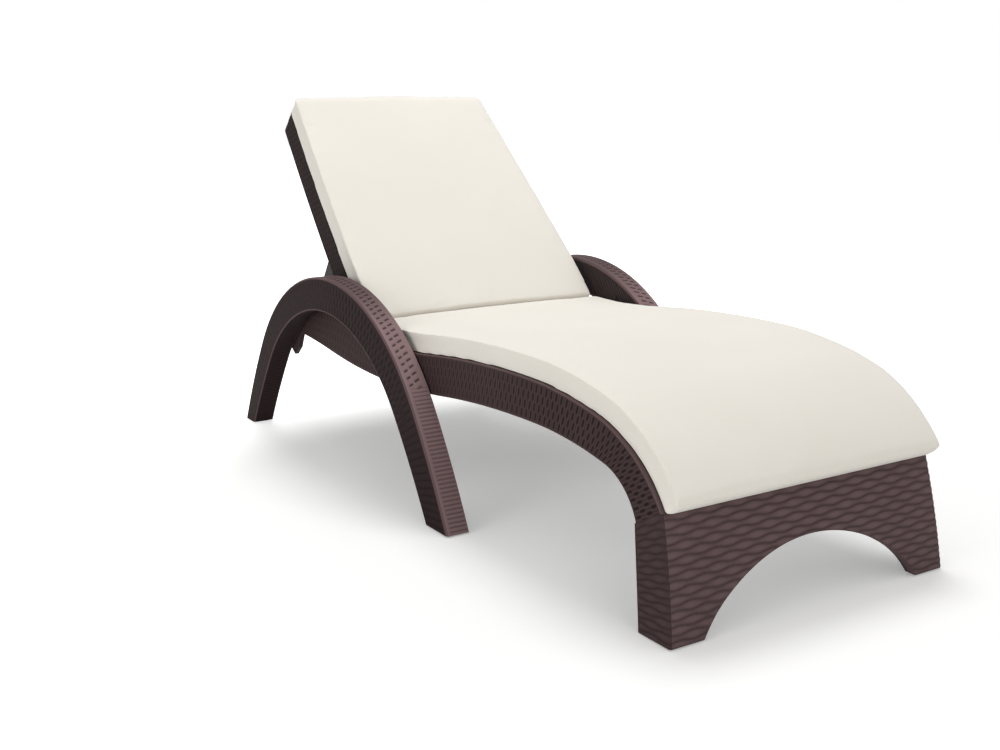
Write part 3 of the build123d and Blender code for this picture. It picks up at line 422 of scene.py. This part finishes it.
def front_panel():
    """A grid rolled over the panel. Columns run round both legs, and rows from the edge below to the top."""
    returns = 13
    columns = [("back", -1, 1 - number / returns) for number in range(returns)]
    columns += [("corner", -1, share) for share in (0, 0.34, 0.67, 1)]
    columns += [("face", 0, share) for share in np.linspace(-1, 1, 291)]
    columns += [("corner", 1, share) for share in (1, 0.67, 0.34, 0)]
    columns += [("back", 1, number / returns) for number in range(1, returns + 1)]
    faces = 126
    below, above, behind = 3, 4, 6
    shares = np.linspace(0, 1, faces)
    belly = Line((80, 0), 81.6, [(160, 0), (125, -69.6)], end=PANEL_DEPTH_END)
    turn = 3.0
    rows = below + faces + above + behind
    points = np.zeros((len(columns), rows + 1, 3))
    crest = np.full((len(columns), rows + 1), 0.6)
    pattern = np.zeros((len(columns), rows + 1, 2))
    travel = 0.0
    for index, (kind, side, share) in enumerate(columns):
        if kind == "face":
            x_floor = share * (330 - turn)
            low = max(cutout_z(x_floor), FLOOR_GAP)
        else:
            low = FLOOR_GAP
        z = low + (PANEL_TOP - low) * shares
        half = panel_half_width(z)
        y = front_y(z)
        if kind == "face":
            x = share * (half - turn)
            normal = (0, -1)
            along = x
            base_x, base_y, base_z = x, y - PROUD, z
        elif kind == "corner":
            a = math.radians(90 * share)
            normal = (side * math.cos(a), -math.sin(a))
            base_x = side * (half - turn + (turn + PROUD) * math.cos(a))
            base_y = y + turn - (turn + PROUD) * math.sin(a)
            base_z = z
            along = side * (half + (1 - share) * turn)
        else:
            by, bz, _ = belly.at(z / PANEL_TOP)
            front = y + turn
            base_y = front + share * (by - front)
            base_z = z + share * (bz - z)
            base_x = side * (panel_half_width(base_z) + PROUD)
            normal = (side, 0)
            along = side * (half + share * 80)
        high = panel_relief(along, z)
        edge = smooth(z, low, low + 4) * (1 - smooth(z, PANEL_TOP - 3, PANEL_TOP))
        if kind == "corner":
            edge = edge * 0.75
        if kind == "back" and share > 0.93:
            edge = np.zeros(faces)
        high = high * edge + 0.5 * (1 - edge)
        relief = RETURN_RELIEF + {"face": 1, "corner": share, "back": 0}[kind] * (PANEL_RELIEF - RETURN_RELIEF)
        body = np.stack([base_x + normal[0] * relief * high, base_y + normal[1] * relief * high, base_z], axis=1)
        inward = 14 if kind == "face" and low > FLOOR_GAP else 5
        if kind == "back":
            inner_offset = np.array([-side * 3.0, 0, 0])
        elif kind == "corner":
            inner_offset = np.array([-normal[0] * 3.0, -normal[1] * 3.0, 0])
        else:
            inner_offset = np.array([0, 3.0, 0])
        lip = np.array([-normal[0] * inward, -normal[1] * inward, 0])
        foot = body[0]
        stretch = [foot + lip * part + [0, 0, -PROUD] for part in (1, 0.5, 0.08)]
        top = body[-1] + [0, 0, PROUD]
        stretch += list(body)
        if kind == "face":
            back = 23.0 if abs(x[-1]) < 306.5 else 0.6
            for reach, depth in ((0.8, 0.2), (back, 0.3), (back, 3.2), (4.0 if back > 5 else 0.6, 3.6)):
                py, pz, pa = rail_top.at(np.array([reach / rail_top.length]))
                stretch.append(np.array([x[-1], py[0] + math.sin(pa[0]) * depth, pz[0] - math.cos(pa[0]) * depth]))
        else:
            stretch += [top + inner_offset * share_in for share_in in (0.3, 0.6, 0.9, 1.2)]
        for back_share in (0.97, 0.78, 0.56, 0.34, 0.12, 0.02):
            place = int(back_share * (faces - 1))
            stretch.append(body[place] + inner_offset * 1.2)
        stretch[-1] = foot + lip + [0, 0, 1.2]
        stretch.append(stretch[0])
        points[index] = np.array(stretch)
        # The face and its returns get their own painted tones, the returns darker as painted shade on the sides, and
        # each groove darker as painted shade.
        crest[index, below:below + faces] = (PANEL_PAINTED_SHADE if kind == "face" else RETURN_PAINTED_SHADE) * (0.45 + 0.55 * high)
        pattern[index, :, 0] = travel
        pattern[index, below:below + faces, 1] = z
        if index:
            travel += float(np.linalg.norm(points[index, 60] - points[index - 1, 60]))
    piece = grid("front_leg_weave", len(columns), rows + 1)
    shape(piece, points, crest, pattern)
    close(piece)
    return piece


# Edge of the backrest

BACK_TOP = 720


def back_half_width(u):
    """Half the backrest's width: widest near its foot and narrower at both ends."""
    if u < 160:
        return 302 - 6 * ((160 - u) / 160) ** 2
    share = (u - 160) / 560
    return 302 - 35 * share + 3 * 4 * share * (1 - share)


def on_back(x, u, v):
    """Points given across, up along and out of the backrest, turned to where it stands."""
    return np.stack([x, HINGE_Y + u * math.cos(BACK_ANGLE) - v * math.sin(BACK_ANGLE),
                     HINGE_Z + u * math.sin(BACK_ANGLE) + v * math.cos(BACK_ANGLE)], axis=-1)


def back_edge_line(low=13.0, top=BACK_TOP, corner=12.0, step=1.5):
    """The backrest's outline from its foot on one side over the top to the other, with its outward normals."""
    side = [(back_half_width(u), u) for u in np.arange(low, top - corner, 2.0)]
    side.append((back_half_width(top - corner), top - corner))
    first, tip = side[-1], (back_half_width(top), top)
    last = (tip[0] - corner, top)
    for share in (0.2, 0.4, 0.6, 0.8, 1.0):
        side.append(tuple((1 - share) ** 2 * first[i] + 2 * share * (1 - share) * tip[i] + share ** 2 * last[i]
                          for i in (0, 1)))
    half = np.array(side)
    line = np.concatenate([half, half[::-1] * [-1, 1]])
    travel = np.concatenate([[0], np.cumsum(np.hypot(*np.diff(line, axis=0).T))])
    even = np.linspace(0, travel[-1], int(travel[-1] / step))
    x, u = np.interp(even, travel, line[:, 0]), np.interp(even, travel, line[:, 1])
    along = np.stack([np.gradient(x), np.gradient(u)], axis=1)
    along /= np.linalg.norm(along, axis=1)[:, None]
    return x, u, along[:, 1], -along[:, 0], even


def back_edge():
    """Strands over the backrest's edge."""
    x, u, out_x, out_u, travel = back_edge_line()
    stations = [(30.4, -1.3, 0), (30.4, 0.3, 0), (29.4, PROUD, 0)]
    stations += [(v, PROUD, 1) for v in (28, 25.5, 22.5, 18, 15.5, 14, 11, 7.5, 4, 1.5, 0,
                                         -1.5, -4, -7.5, -11, -14, -16, -18, -22.5, -27, -29.5, -32)]
    stations += [(-33.2, PROUD, 0), (-33.8, 0.2, 0), (-33.8, -1.3, 0)]
    stations += [(v, -1.3, 0) for v in (-15, 5, 20)]
    points = np.zeros((len(x), len(stations) + 1, 3))
    # The backrest's edge is given a dark tone throughout, as painted shade on faces turned from the light.
    crest = np.full((len(x), len(stations) + 1), 0.12)
    pattern = np.zeros((len(x), len(stations) + 1, 2))
    for column, (v, out, woven_here) in enumerate(stations + [stations[0]]):
        if woven_here:
            row = math.floor((v + 30) / 15)
            rows = 1 - smooth(abs((v + 30) / 15 % 1 - 0.5), 0.34, 0.5)
            short = groove(travel, RAIL_PITCH, 4.0, (row % 2) * RAIL_PITCH / 2) * rows
            high = 1 - stretch_of(v, -32, 28, 3) * np.maximum(0.8 * short, 0.3 * groove(travel, RAIL_PITCH / 2, 2.0))
            crest[:, column] = BACK_PAINTED_SHADE * high
            out = out + 0.75 * high
        points[:, column] = on_back(x + out_x * out, u + out_u * out, v)
        pattern[:, column, 0] = travel
        pattern[:, column, 1] = 100 + v
    piece = grid("back_edge_weave", len(x), len(stations) + 1)
    shape(piece, points, crest, pattern)
    close(piece)
    return piece


# Finishes

class Wire:
    """A value on its way through a material, which takes plain arithmetic."""

    def __init__(self, finish, socket):
        self.finish, self.socket = finish, socket

    def __add__(self, other):
        return self.finish.maths("ADD", self, other)

    def __sub__(self, other):
        return self.finish.maths("SUBTRACT", self, other)

    def __mul__(self, other):
        return self.finish.maths("MULTIPLY", self, other)

    __radd__ = __add__
    __rmul__ = __mul__


class Finish:
    """One material, or the world behind it, built node by node."""

    def __init__(self, name, owner=None):
        self.material = owner or bpy.data.materials.new(name)
        self.material.use_nodes = True
        self.tree = self.material.node_tree
        self.tree.nodes.clear()

    def node(self, kind, settings=None, inputs=None, out=0):
        node = self.tree.nodes.new("ShaderNode" + kind)
        for key, value in (settings or {}).items():
            if key == "stops":
                while len(node.color_ramp.elements) < len(value):
                    node.color_ramp.elements.new(0.5)
                for element, (place, colour) in zip(node.color_ramp.elements, value):
                    element.position = place
                    element.color = (*colour, 1)
            else:
                setattr(node, key, value)
        for key, value in (inputs or {}).items():
            self.put(node.inputs[key], value)
        return Wire(self, node.outputs[out]) if node.outputs else None

    def put(self, socket, value):
        if isinstance(value, Wire):
            self.tree.links.new(value.socket, socket)
        else:
            socket.default_value = value

    def maths(self, operation, *values):
        return self.node("Math", {"operation": operation}, dict(enumerate(values)))

    def mix(self, factor, first, second, blend="MIX"):
        return self.node("Mix", {"data_type": "RGBA", "blend_type": blend}, {0: factor, 6: first, 7: second}, out=2)

    def noise(self, where, scale, detail=2.0, roughness=0.5):
        return self.node("TexNoise", {}, {"Vector": where, "Scale": scale, "Detail": detail, "Roughness": roughness})

    def bump(self, height, distance, strength=1.0, under=None):
        inputs = {"Height": height, "Distance": distance, "Strength": strength}
        if under is not None:
            inputs["Normal"] = under
        return self.node("Bump", {}, inputs)

    def surface(self, **inputs):
        shader = self.node("BsdfPrincipled", {}, {key.replace("_", " "): value for key, value in inputs.items()})
        self.node("OutputMaterial", {}, {"Surface": shader})
        return self.material


def where_on(finish):
    return finish.node("TexCoord", {}, {}, out=3)


def woven_resin():
    """Moulded strands with painted shade: dark in the grooves and on shaded faces, and paler on the crests of lit
    faces.
    """
    finish = Finish("woven_resin")
    place = where_on(finish)
    crest = finish.node("Attribute", {"attribute_name": "crest"}, {}, out=2)
    patches = finish.noise(place, 9.0, 3.0)
    grain = finish.noise(place, 900.0, 2.0)
    streaks = finish.noise(place, 160.0, 3.0)
    # The mix from the dark groove colour to the strands' colour follows the painted tone: the dark of the grooves
    # and of the shaded faces is painted shade.
    height = finish.maths("POWER", crest, 1.5)
    strand_colour = finish.mix(patches, (0.242, 0.157, 0.158, 1), (0.300, 0.203, 0.206, 1))
    strand_colour = finish.mix(streaks * 0.25, strand_colour, (0.105, 0.076, 0.080, 1))
    colour = finish.mix(height, (0.016, 0.0095, 0.0095, 1), strand_colour)
    return finish.surface(Base_Color=colour, Roughness=0.46 + 0.16 * streaks - 0.06 * height,
                          Specular_IOR_Level=0.02, Normal=finish.bump(grain + streaks * 1.5, 0.00025, 0.55))


def strand_bump(finish, place, kind):
    """Fine strands on a flat face, set square to the band that they cross."""
    axes = [finish.node("SeparateXYZ", {}, {0: place}, out=index) for index in range(3)]
    if kind == "arch":
        y = axes[1] - (1183 - HALF_LENGTH) * MM
        z = axes[2] - (453 - 490) * MM
        along = finish.maths("ARCTAN2", y, z) * 0.45
    else:
        along = axes[1] * math.cos(BACK_ANGLE) + axes[2] * math.sin(BACK_ANGLE)
    wave = finish.maths("SINE", along * (2 * math.pi / 0.006))
    return 0.5 + 0.5 * wave


def plain_resin(name, kind=None):
    """Moulded resin with a fine grain, and strands where it is part of the weave, with painted shade between the
    strands.
    """
    finish = Finish(name)
    place = where_on(finish)
    patches = finish.noise(place, 14.0, 3.0)
    grain = finish.noise(place, 1100.0, 2.0)
    colour = finish.mix(patches, (0.036, 0.024, 0.024, 1), (0.056, 0.039, 0.039, 1))
    normal = finish.bump(grain, 0.0002, 0.5)
    if kind:
        strand = strand_bump(finish, place, kind)
        # The colour between the bumped strands is darkened as painted shade.
        colour = finish.mix(strand, (0.015, 0.010, 0.010, 1), colour)
        normal = finish.bump(strand, 0.0008, 0.8, normal)
    return finish.surface(Base_Color=colour, Roughness=0.46 + 0.12 * patches, Specular_IOR_Level=0.1, Normal=normal)


def fabric():
    """A close plain weave, soft and matt, with slubs."""
    finish = Finish("cushion_fabric")
    place = where_on(finish)
    axes = [finish.node("SeparateXYZ", {}, {0: place}, out=index) for index in range(3)]
    pitch = 2 * math.pi / 0.0016
    length = axes[1] + axes[2] * 0.7
    threads = finish.maths("SINE", axes[0] * pitch) * finish.maths("SINE", length * pitch)
    slubs = finish.node("TexNoise", {}, {"Vector": finish.node("Mapping", {}, {"Vector": place,
                        "Scale": (60.0, 900.0, 900.0)}), "Scale": 1.0, "Detail": 3.0})
    patches = finish.noise(place, 5.0, 3.0)
    soft = finish.noise(place, 40.0, 2.0)
    colour = finish.mix(patches, (0.800, 0.755, 0.680, 1), (0.845, 0.812, 0.742, 1))
    colour = finish.mix(slubs * 0.22, colour, (0.72, 0.69, 0.62, 1))
    normal = finish.bump(threads * 0.5 + slubs * 0.6, 0.00022, 0.5)
    normal = finish.bump(soft, 0.0012, 0.25, normal)
    return finish.surface(Base_Color=colour, Roughness=0.86 + 0.08 * slubs, Specular_IOR_Level=0.25,
                          Sheen_Weight=0.25, Sheen_Roughness=0.5, Normal=normal)


def coated_tube():
    finish = Finish("coated_tube")
    place = where_on(finish)
    peel = finish.noise(place, 420.0, 2.0)
    patches = finish.noise(place, 12.0, 2.0)
    colour = finish.mix(patches, (0.060, 0.044, 0.042, 1), (0.085, 0.064, 0.060, 1))
    return finish.surface(Base_Color=colour, Roughness=0.34 + 0.14 * peel, Specular_IOR_Level=0.5,
                          Normal=finish.bump(peel, 0.0002, 0.35))


def rubber(name, dark):
    finish = Finish(name)
    place = where_on(finish)
    dust = finish.noise(place, 60.0, 4.0)
    grain = finish.noise(place, 1500.0, 2.0)
    colour = finish.mix(dust * 0.6, (dark, dark, dark, 1), (dark * 1.9, dark * 1.85, dark * 1.8, 1))
    return finish.surface(Base_Color=colour, Roughness=0.72 + 0.18 * dust, Specular_IOR_Level=0.4,
                          Normal=finish.bump(grain, 0.00015, 0.5))


def metal(name, low, high, rough):
    finish = Finish(name)
    place = where_on(finish)
    brushed = finish.node("TexNoise", {}, {"Vector": finish.node("Mapping", {}, {"Vector": place,
                          "Scale": (120.0, 2600.0, 2600.0)}), "Scale": 1.0, "Detail": 3.0})
    tarnish = finish.noise(place, 70.0, 3.0)
    colour = finish.mix(tarnish, (*low, 1), (*high, 1))
    return finish.surface(Base_Color=colour, Metallic=1.0, Roughness=rough + 0.18 * tarnish,
                          Normal=finish.bump(brushed, 0.00008, 0.5))


# Cushions, in metres like the nodes they are copied from

PAD_VOXEL = 0.006
PAD_SHRINK = 0.0015
PAD_CAP = 0.0035
CLOTH_FRAMES = 20
SEAM_RADIUS = 1.2


def square_foot(points):
    """Draws the seat cushion's foot out over the panel's top edge, and makes its two corners tighter."""
    y, z = points[:, 1] / MM + HALF_LENGTH, points[:, 2] / MM
    lean = math.radians(55.6)
    travel = (y - 46) * math.cos(lean) + (z - 217) * math.sin(lean)
    across = np.abs(points[:, 0]) / MM
    radius = 16.0
    out = np.clip((across - (316 - radius)) / radius, 0, 1)
    down = np.clip((radius + 3 - travel) / radius, 0, 1)
    round_by = np.sqrt(out ** 2 + down ** 2)
    square_by = (out ** 5 + down ** 5) ** 0.2
    wider = np.where((out > 0) & (down > 0), round_by / np.maximum(square_by, 1e-6), 1.0)
    reach = (wider - 1) * radius
    points[:, 0] += np.sign(points[:, 0]) * reach * out * MM
    push = reach * down + 8.0 * (1 - smooth(travel, 2, 60))
    points[:, 1] -= push * math.cos(lean) * MM
    points[:, 2] -= push * math.sin(lean) * MM
    return points


def widen_back(points):
    """Draws the back cushion's sides and top out a little over the backrest."""
    y, z = points[:, 1] / MM + HALF_LENGTH - HINGE_Y, points[:, 2] / MM - HINGE_Z
    u = y * math.cos(BACK_ANGLE) + z * math.sin(BACK_ANGLE)
    points[:, 0] *= 1 + 4.5 / 303
    push = 4.0 * smooth(u, 420, 712) * MM
    points[:, 1] += push * math.cos(BACK_ANGLE)
    points[:, 2] += push * math.sin(BACK_ANGLE)
    return points


def cushion(name, node, keep_side, fit):
    """The foam core is copied, drawn in, remeshed and filled with air as cloth, with its moves held to a cap."""
    source = nodes[node]
    mesh = source.data.copy()
    mesh.name = name
    piece = bpy.data.objects.new(name, mesh)
    bpy.context.scene.collection.objects.link(piece)
    mesh.materials.clear()
    take(piece)
    bpy.ops.object.mode_set(mode="EDIT")
    bpy.ops.mesh.select_all(action="SELECT")
    bpy.ops.mesh.remove_doubles(threshold=0.01 * MM)
    bpy.ops.object.mode_set(mode="OBJECT")
    remesh = piece.modifiers.new("remesh", "REMESH")
    remesh.mode = "VOXEL"
    remesh.voxel_size = PAD_VOXEL
    remesh.use_smooth_shade = True
    apply_modifiers(piece)
    fitted = piece.modifiers.new("fitted", "SHRINKWRAP")
    fitted.target = source
    fitted.wrap_method = "NEAREST_SURFACEPOINT"
    eased = piece.modifiers.new("eased", "SMOOTH")
    eased.factor = 0.5
    eased.iterations = 2
    apply_modifiers(piece)
    drawn = piece.modifiers.new("drawn_in", "DISPLACE")
    drawn.mid_level = 0.0
    drawn.strength = -PAD_SHRINK
    apply_modifiers(piece)
    count = len(piece.data.vertices)
    start = np.zeros(count * 3)
    piece.data.vertices.foreach_get("co", start)
    start = fit(start.reshape(-1, 3))
    piece.data.vertices.foreach_set("co", start.ravel())
    piece.data.update()
    normal = np.zeros(count * 3)
    piece.data.vertices.foreach_get("normal", normal)
    normal = normal.reshape(-1, 3)
    cloth = piece.modifiers.new("filling", "CLOTH")
    settings = cloth.settings
    settings.quality = 6
    settings.mass = 0.3
    settings.tension_stiffness = 30
    settings.compression_stiffness = 30
    settings.shear_stiffness = 15
    settings.bending_stiffness = 8
    settings.use_pressure = True
    settings.uniform_pressure_force = 4.0
    settings.effector_weights.gravity = 0.0
    cloth.collision_settings.use_collision = False
    cloth.point_cache.frame_start = 1
    cloth.point_cache.frame_end = CLOTH_FRAMES
    for number in range(1, CLOTH_FRAMES + 1):
        bpy.context.scene.frame_set(number)
    apply_modifiers(piece)
    bpy.context.scene.frame_set(1)
    blown = np.zeros(count * 3)
    piece.data.vertices.foreach_get("co", blown)
    move = blown.reshape(-1, 3) - start
    reach = np.linalg.norm(move, axis=1)
    resting = smooth(-(normal @ np.array(keep_side)), 0.5, 0.9)
    allowed = PAD_CAP * (1 - resting) + 0.0004 * resting
    move *= np.minimum(1, allowed / np.maximum(reach, 1e-9))[:, None]
    piece.data.vertices.foreach_set("co", (start + move).ravel())
    piece.data.update()
    smoother = piece.modifiers.new("finer", "SUBSURF")
    smoother.levels = smoother.render_levels = 1
    thinner = piece.modifiers.new("thinner", "DECIMATE")
    thinner.ratio = min(1.0, 99000 / (len(piece.data.polygons) * 4))
    apply_modifiers(piece)
    take(piece)
    bpy.ops.object.shade_smooth()
    return piece


def seam(name, pad, points):
    """A sewn edge that lies on a cushion: its path is laid on the cloth, and a thin cord is drawn along it."""
    clear_selection()
    bpy.ops.curve.primitive_nurbs_path_add(location=(0, 0, 0))
    cord = bpy.context.object
    cord.name = cord.data.name = name
    cord.data.splines.clear()
    spline = cord.data.splines.new("NURBS")
    spline.points.add(len(points) - 1)
    for point, (x, y, z) in zip(spline.points, points):
        _, spot, normal, _ = pad.closest_point_on_mesh((x * MM, (y - HALF_LENGTH) * MM, z * MM))
        point.co = (*(spot - normal * (0.3 * MM)), 1)
    spline.order_u = 4
    spline.use_endpoint_u = True
    cord.data.dimensions = "3D"
    cord.data.resolution_u = 3
    cord.data.bevel_depth = SEAM_RADIUS * MM
    cord.data.bevel_resolution = 2
    cord.data.use_fill_caps = True
    take(cord)
    bpy.ops.object.convert(target="MESH")
    bpy.ops.object.shade_smooth()
    return bpy.context.object


def over_rail(x, travel, height):
    """A point at a height over the rail's top line. The line runs on straight past its foot end."""
    y, z, a = (value[0] for value in rail_top.at(np.array([max(travel, 0) / rail_top.length])))
    y += min(travel, 0) * math.cos(a)
    z += min(travel, 0) * math.sin(a)
    return x, y - math.sin(a) * height, z + math.cos(a) * height


def seat_seam(height, half_width=319.0, foot=-11.0):
    """Up one side of the seat cushion, across its foot and back down the other side."""
    end = rail_top.travel_at_y(HINGE_Y) - 8 - height * 0.4
    side = [over_rail(half_width, travel, height) for travel in np.arange(end, foot + 9, -10.0)]
    side += [over_rail(half_width, foot + 5, height), over_rail(half_width - 1.5, foot + 1.5, height)]
    across = [over_rail(x, foot, height) for x in np.arange(half_width - 5, 0, -12.0)]
    half = side + across
    return half + [(-x, y, z) for x, y, z in reversed(half)]


def back_seam(v, low, top=727.0):
    """Up one side of the back cushion, across its top and down the other side."""
    side = [(back_half_width(u) + 10, u) for u in np.arange(low, top - 8, 10.0)]
    tip = back_half_width(BACK_TOP)
    side += [(tip + 10, top - 5), (tip + 8, top - 1)]
    half = np.array(side + [(x, top) for x in np.arange(tip, 0, -12.0)])
    line = np.concatenate([half, half[::-1] * [-1, 1]])
    return on_back(line[:, 0], line[:, 1], v)


# Stage, lamps and camera

# Outputs of the Light Path node: Is Camera Ray, Is Glossy Ray and Is Transmission Ray
LIGHT_PATHS = (0, 3, 6)


def camera():
    lens = bpy.data.cameras.new("photo_view")
    lens.sensor_width = 36
    lens.lens = 44.795
    lens.clip_end = 60
    holder = bpy.data.objects.new("photo_view", lens)
    holder.location = (-1.55176, -2.27758, 0.88897)
    holder.rotation_euler = (math.radians(76.8504), 0, math.radians(-32.4208))
    bpy.context.scene.collection.objects.link(holder)
    bpy.context.scene.camera = holder


def lamp(name, place, target, size, power):
    light = bpy.data.lights.new(name, "AREA")
    light.shape = "DISK"
    light.size = size
    light.energy = power
    holder = bpy.data.objects.new(name, light)
    holder.location = place
    aim = np.array(target) - np.array(place)
    tilt = math.atan2(math.hypot(aim[0], aim[1]), -aim[2])
    holder.rotation_euler = (-tilt, 0, math.atan2(aim[1], aim[0]) + math.pi / 2)
    bpy.context.scene.collection.objects.link(holder)


def seen_directly(finish):
    """1 for rays from the camera and for mirrored and passed ones, and 0 for those that only carry light."""
    camera_ray, glossy_ray, transmission_ray = (finish.node("LightPath", {}, {}, out=out) for out in LIGHT_PATHS)
    return finish.maths("MINIMUM", camera_ray + glossy_ray + transmission_ray, 1.0)


def white_floor():
    """A floor that runs to pure white away from the lounger, with a glow seen only by the camera that is strongest
    under the seat, as painted light in the lounger's cast shadow.
    """
    clear_selection()
    bpy.ops.mesh.primitive_plane_add(size=30, location=(0, 0, -0.0002))
    floor = bpy.context.object
    floor.name = "studio_floor"
    finish = Finish("studio_floor")
    middle = finish.node("VectorMath", {"operation": "ADD"}, {0: where_on(finish), 1: (0, 0.35, 0)})
    reach = finish.node("VectorMath", {"operation": "LENGTH"}, {0: middle}, out=1)
    # Painted light: the camera-only glow is 0.35 under the seat and falls to 0.22 further out, lightening the cast
    # shadow most under the seat.
    near = finish.node("MapRange", {"interpolation_type": "SMOOTHSTEP"}, {"Value": reach, "From Min": 0.15,
                       "From Max": 0.62, "To Min": 0.35, "To Max": 0.22})
    away = near + finish.node("MapRange", {"interpolation_type": "SMOOTHSTEP"}, {"Value": reach, "From Min": 0.9,
                              "From Max": 1.5, "To Min": 0.0, "To Max": 0.8})
    finish.surface(Base_Color=(0.84, 0.84, 0.83, 1), Roughness=0.9, Specular_IOR_Level=0.1,
                   Emission_Color=(1, 1, 1, 1), Emission_Strength=seen_directly(finish) * away)
    floor.data.materials.append(finish.material)


def white_world():
    world = bpy.data.worlds.new("studio")
    bpy.context.scene.world = world
    sky = Finish("studio", world)
    lit, shown = (sky.node("Background", {}, {"Color": (1, 1, 1, 1), "Strength": strength})
                  for strength in (0.60, 1.0))
    mixed = sky.node("MixShader", {}, {0: seen_directly(sky), 1: lit, 2: shown})
    sky.node("OutputWorld", {}, {"Surface": mixed})


def studio():
    white_floor()
    white_world()
    lamp("key", (0.5, 0.7, 4.0), (0, 0, 0.2), 1.9, 69)
    lamp("front", (-0.7, -3.5, 0.8), (0, -0.4, 0.2), 1.5, 11)
    lamp("side", (-4.2, -0.9, 1.3), (0, -0.1, 0.3), 2.4, 34)
    bpy.context.scene.view_settings.view_transform = "Standard"


camera()
studio()

woven = woven_resin()
plain = plain_resin("plain_resin")
arch_lining = plain_resin("arch_lining", "arch")
back_strands = plain_resin("back_strands", "back")
tube_coat = coated_tube()
glide = rubber("glide_rubber", 0.035)
bush = rubber("bush_plastic", 0.06)
steel = metal("plain_steel", (0.30, 0.30, 0.30), (0.42, 0.42, 0.41), 0.42)
blackened = metal("blackened_steel", (0.045, 0.042, 0.042), (0.075, 0.070, 0.070), 0.45)
brass = metal("insert_brass", (0.60, 0.45, 0.20), (0.74, 0.60, 0.32), 0.30)
cloth_finish = fabric()

carried = {
    "front_leg_frame": plain, "side_rail_left": plain, "side_rail_right": plain, "arch_shell_left": plain,
    "arch_shell_right": plain, "arch_cover_left": arch_lining, "arch_cover_right": arch_lining,
    "deck_foot_panel": plain, "deck_seat_panel": plain, "back_shell": plain, "stay_arm_left": back_strands,
    "stay_arm_right": back_strands, "catch_left": plain, "catch_right": plain, "rear_cross_beam": plain,
    "stay_foot_caps": plain, "knee_cross_tube": tube_coat, "hip_cross_tube": tube_coat, "stay_foot_bar": tube_coat,
    "front_foot_glides": glide, "arch_foot_glides": glide, "flat_stop_pads": glide, "hinge_bushes": bush,
    "hinge_pins": steel, "stay_pivot_pins": steel, "arch_bolts": steel, "arch_cover_screws": blackened,
    "leg_joint_screws": steel, "catch_screws": steel, "arch_inserts": brass,
    "seat_cushion": cloth_finish, "back_cushion": cloth_finish}
for name, finish in carried.items():
    nodes[name].data.materials.clear()
    nodes[name].data.materials.append(finish)

arch_rings = RIB_COUNT * RIB_SAMPLES + 1
for side, name in ((1, "right"), (-1, "left")):
    arch = band("arch_weave_" + name, arch_top, arch_under, arch_rings, arch_stations(), side)
    finish_piece(arch, "frame", woven)
    rail = band("rail_weave_" + name, rail_top, rail_belly, int(rail_top.length / 1.5), rail_stations(), side)
    finish_piece(rail, "frame", woven)

finish_piece(front_panel(), "frame", woven)
finish_piece(back_edge(), "backrest", woven)

seat = cushion("seat_pad", "seat_cushion", (0, 0, 1), square_foot)
finish_piece(seat, "frame", cloth_finish)
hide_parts("seat_cushion")
back_up = (0, -math.sin(BACK_ANGLE), math.cos(BACK_ANGLE))
back = cushion("back_pad", "back_cushion", back_up, widen_back)
finish_piece(back, "backrest", cloth_finish)
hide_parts("back_cushion")

for name, pad, points, body in (
        ("seat_seam_upper", seat, seat_seam(47.5), "frame"),
        ("seat_seam_lower", seat, seat_seam(-2.5), "frame"),
        ("back_seam_upper", back, back_seam(84.0, 74), "backrest"),
        ("back_seam_lower", back, back_seam(28.5, 50), "backrest")):
    finish_piece(seam(name, pad, points), body, cloth_finish)
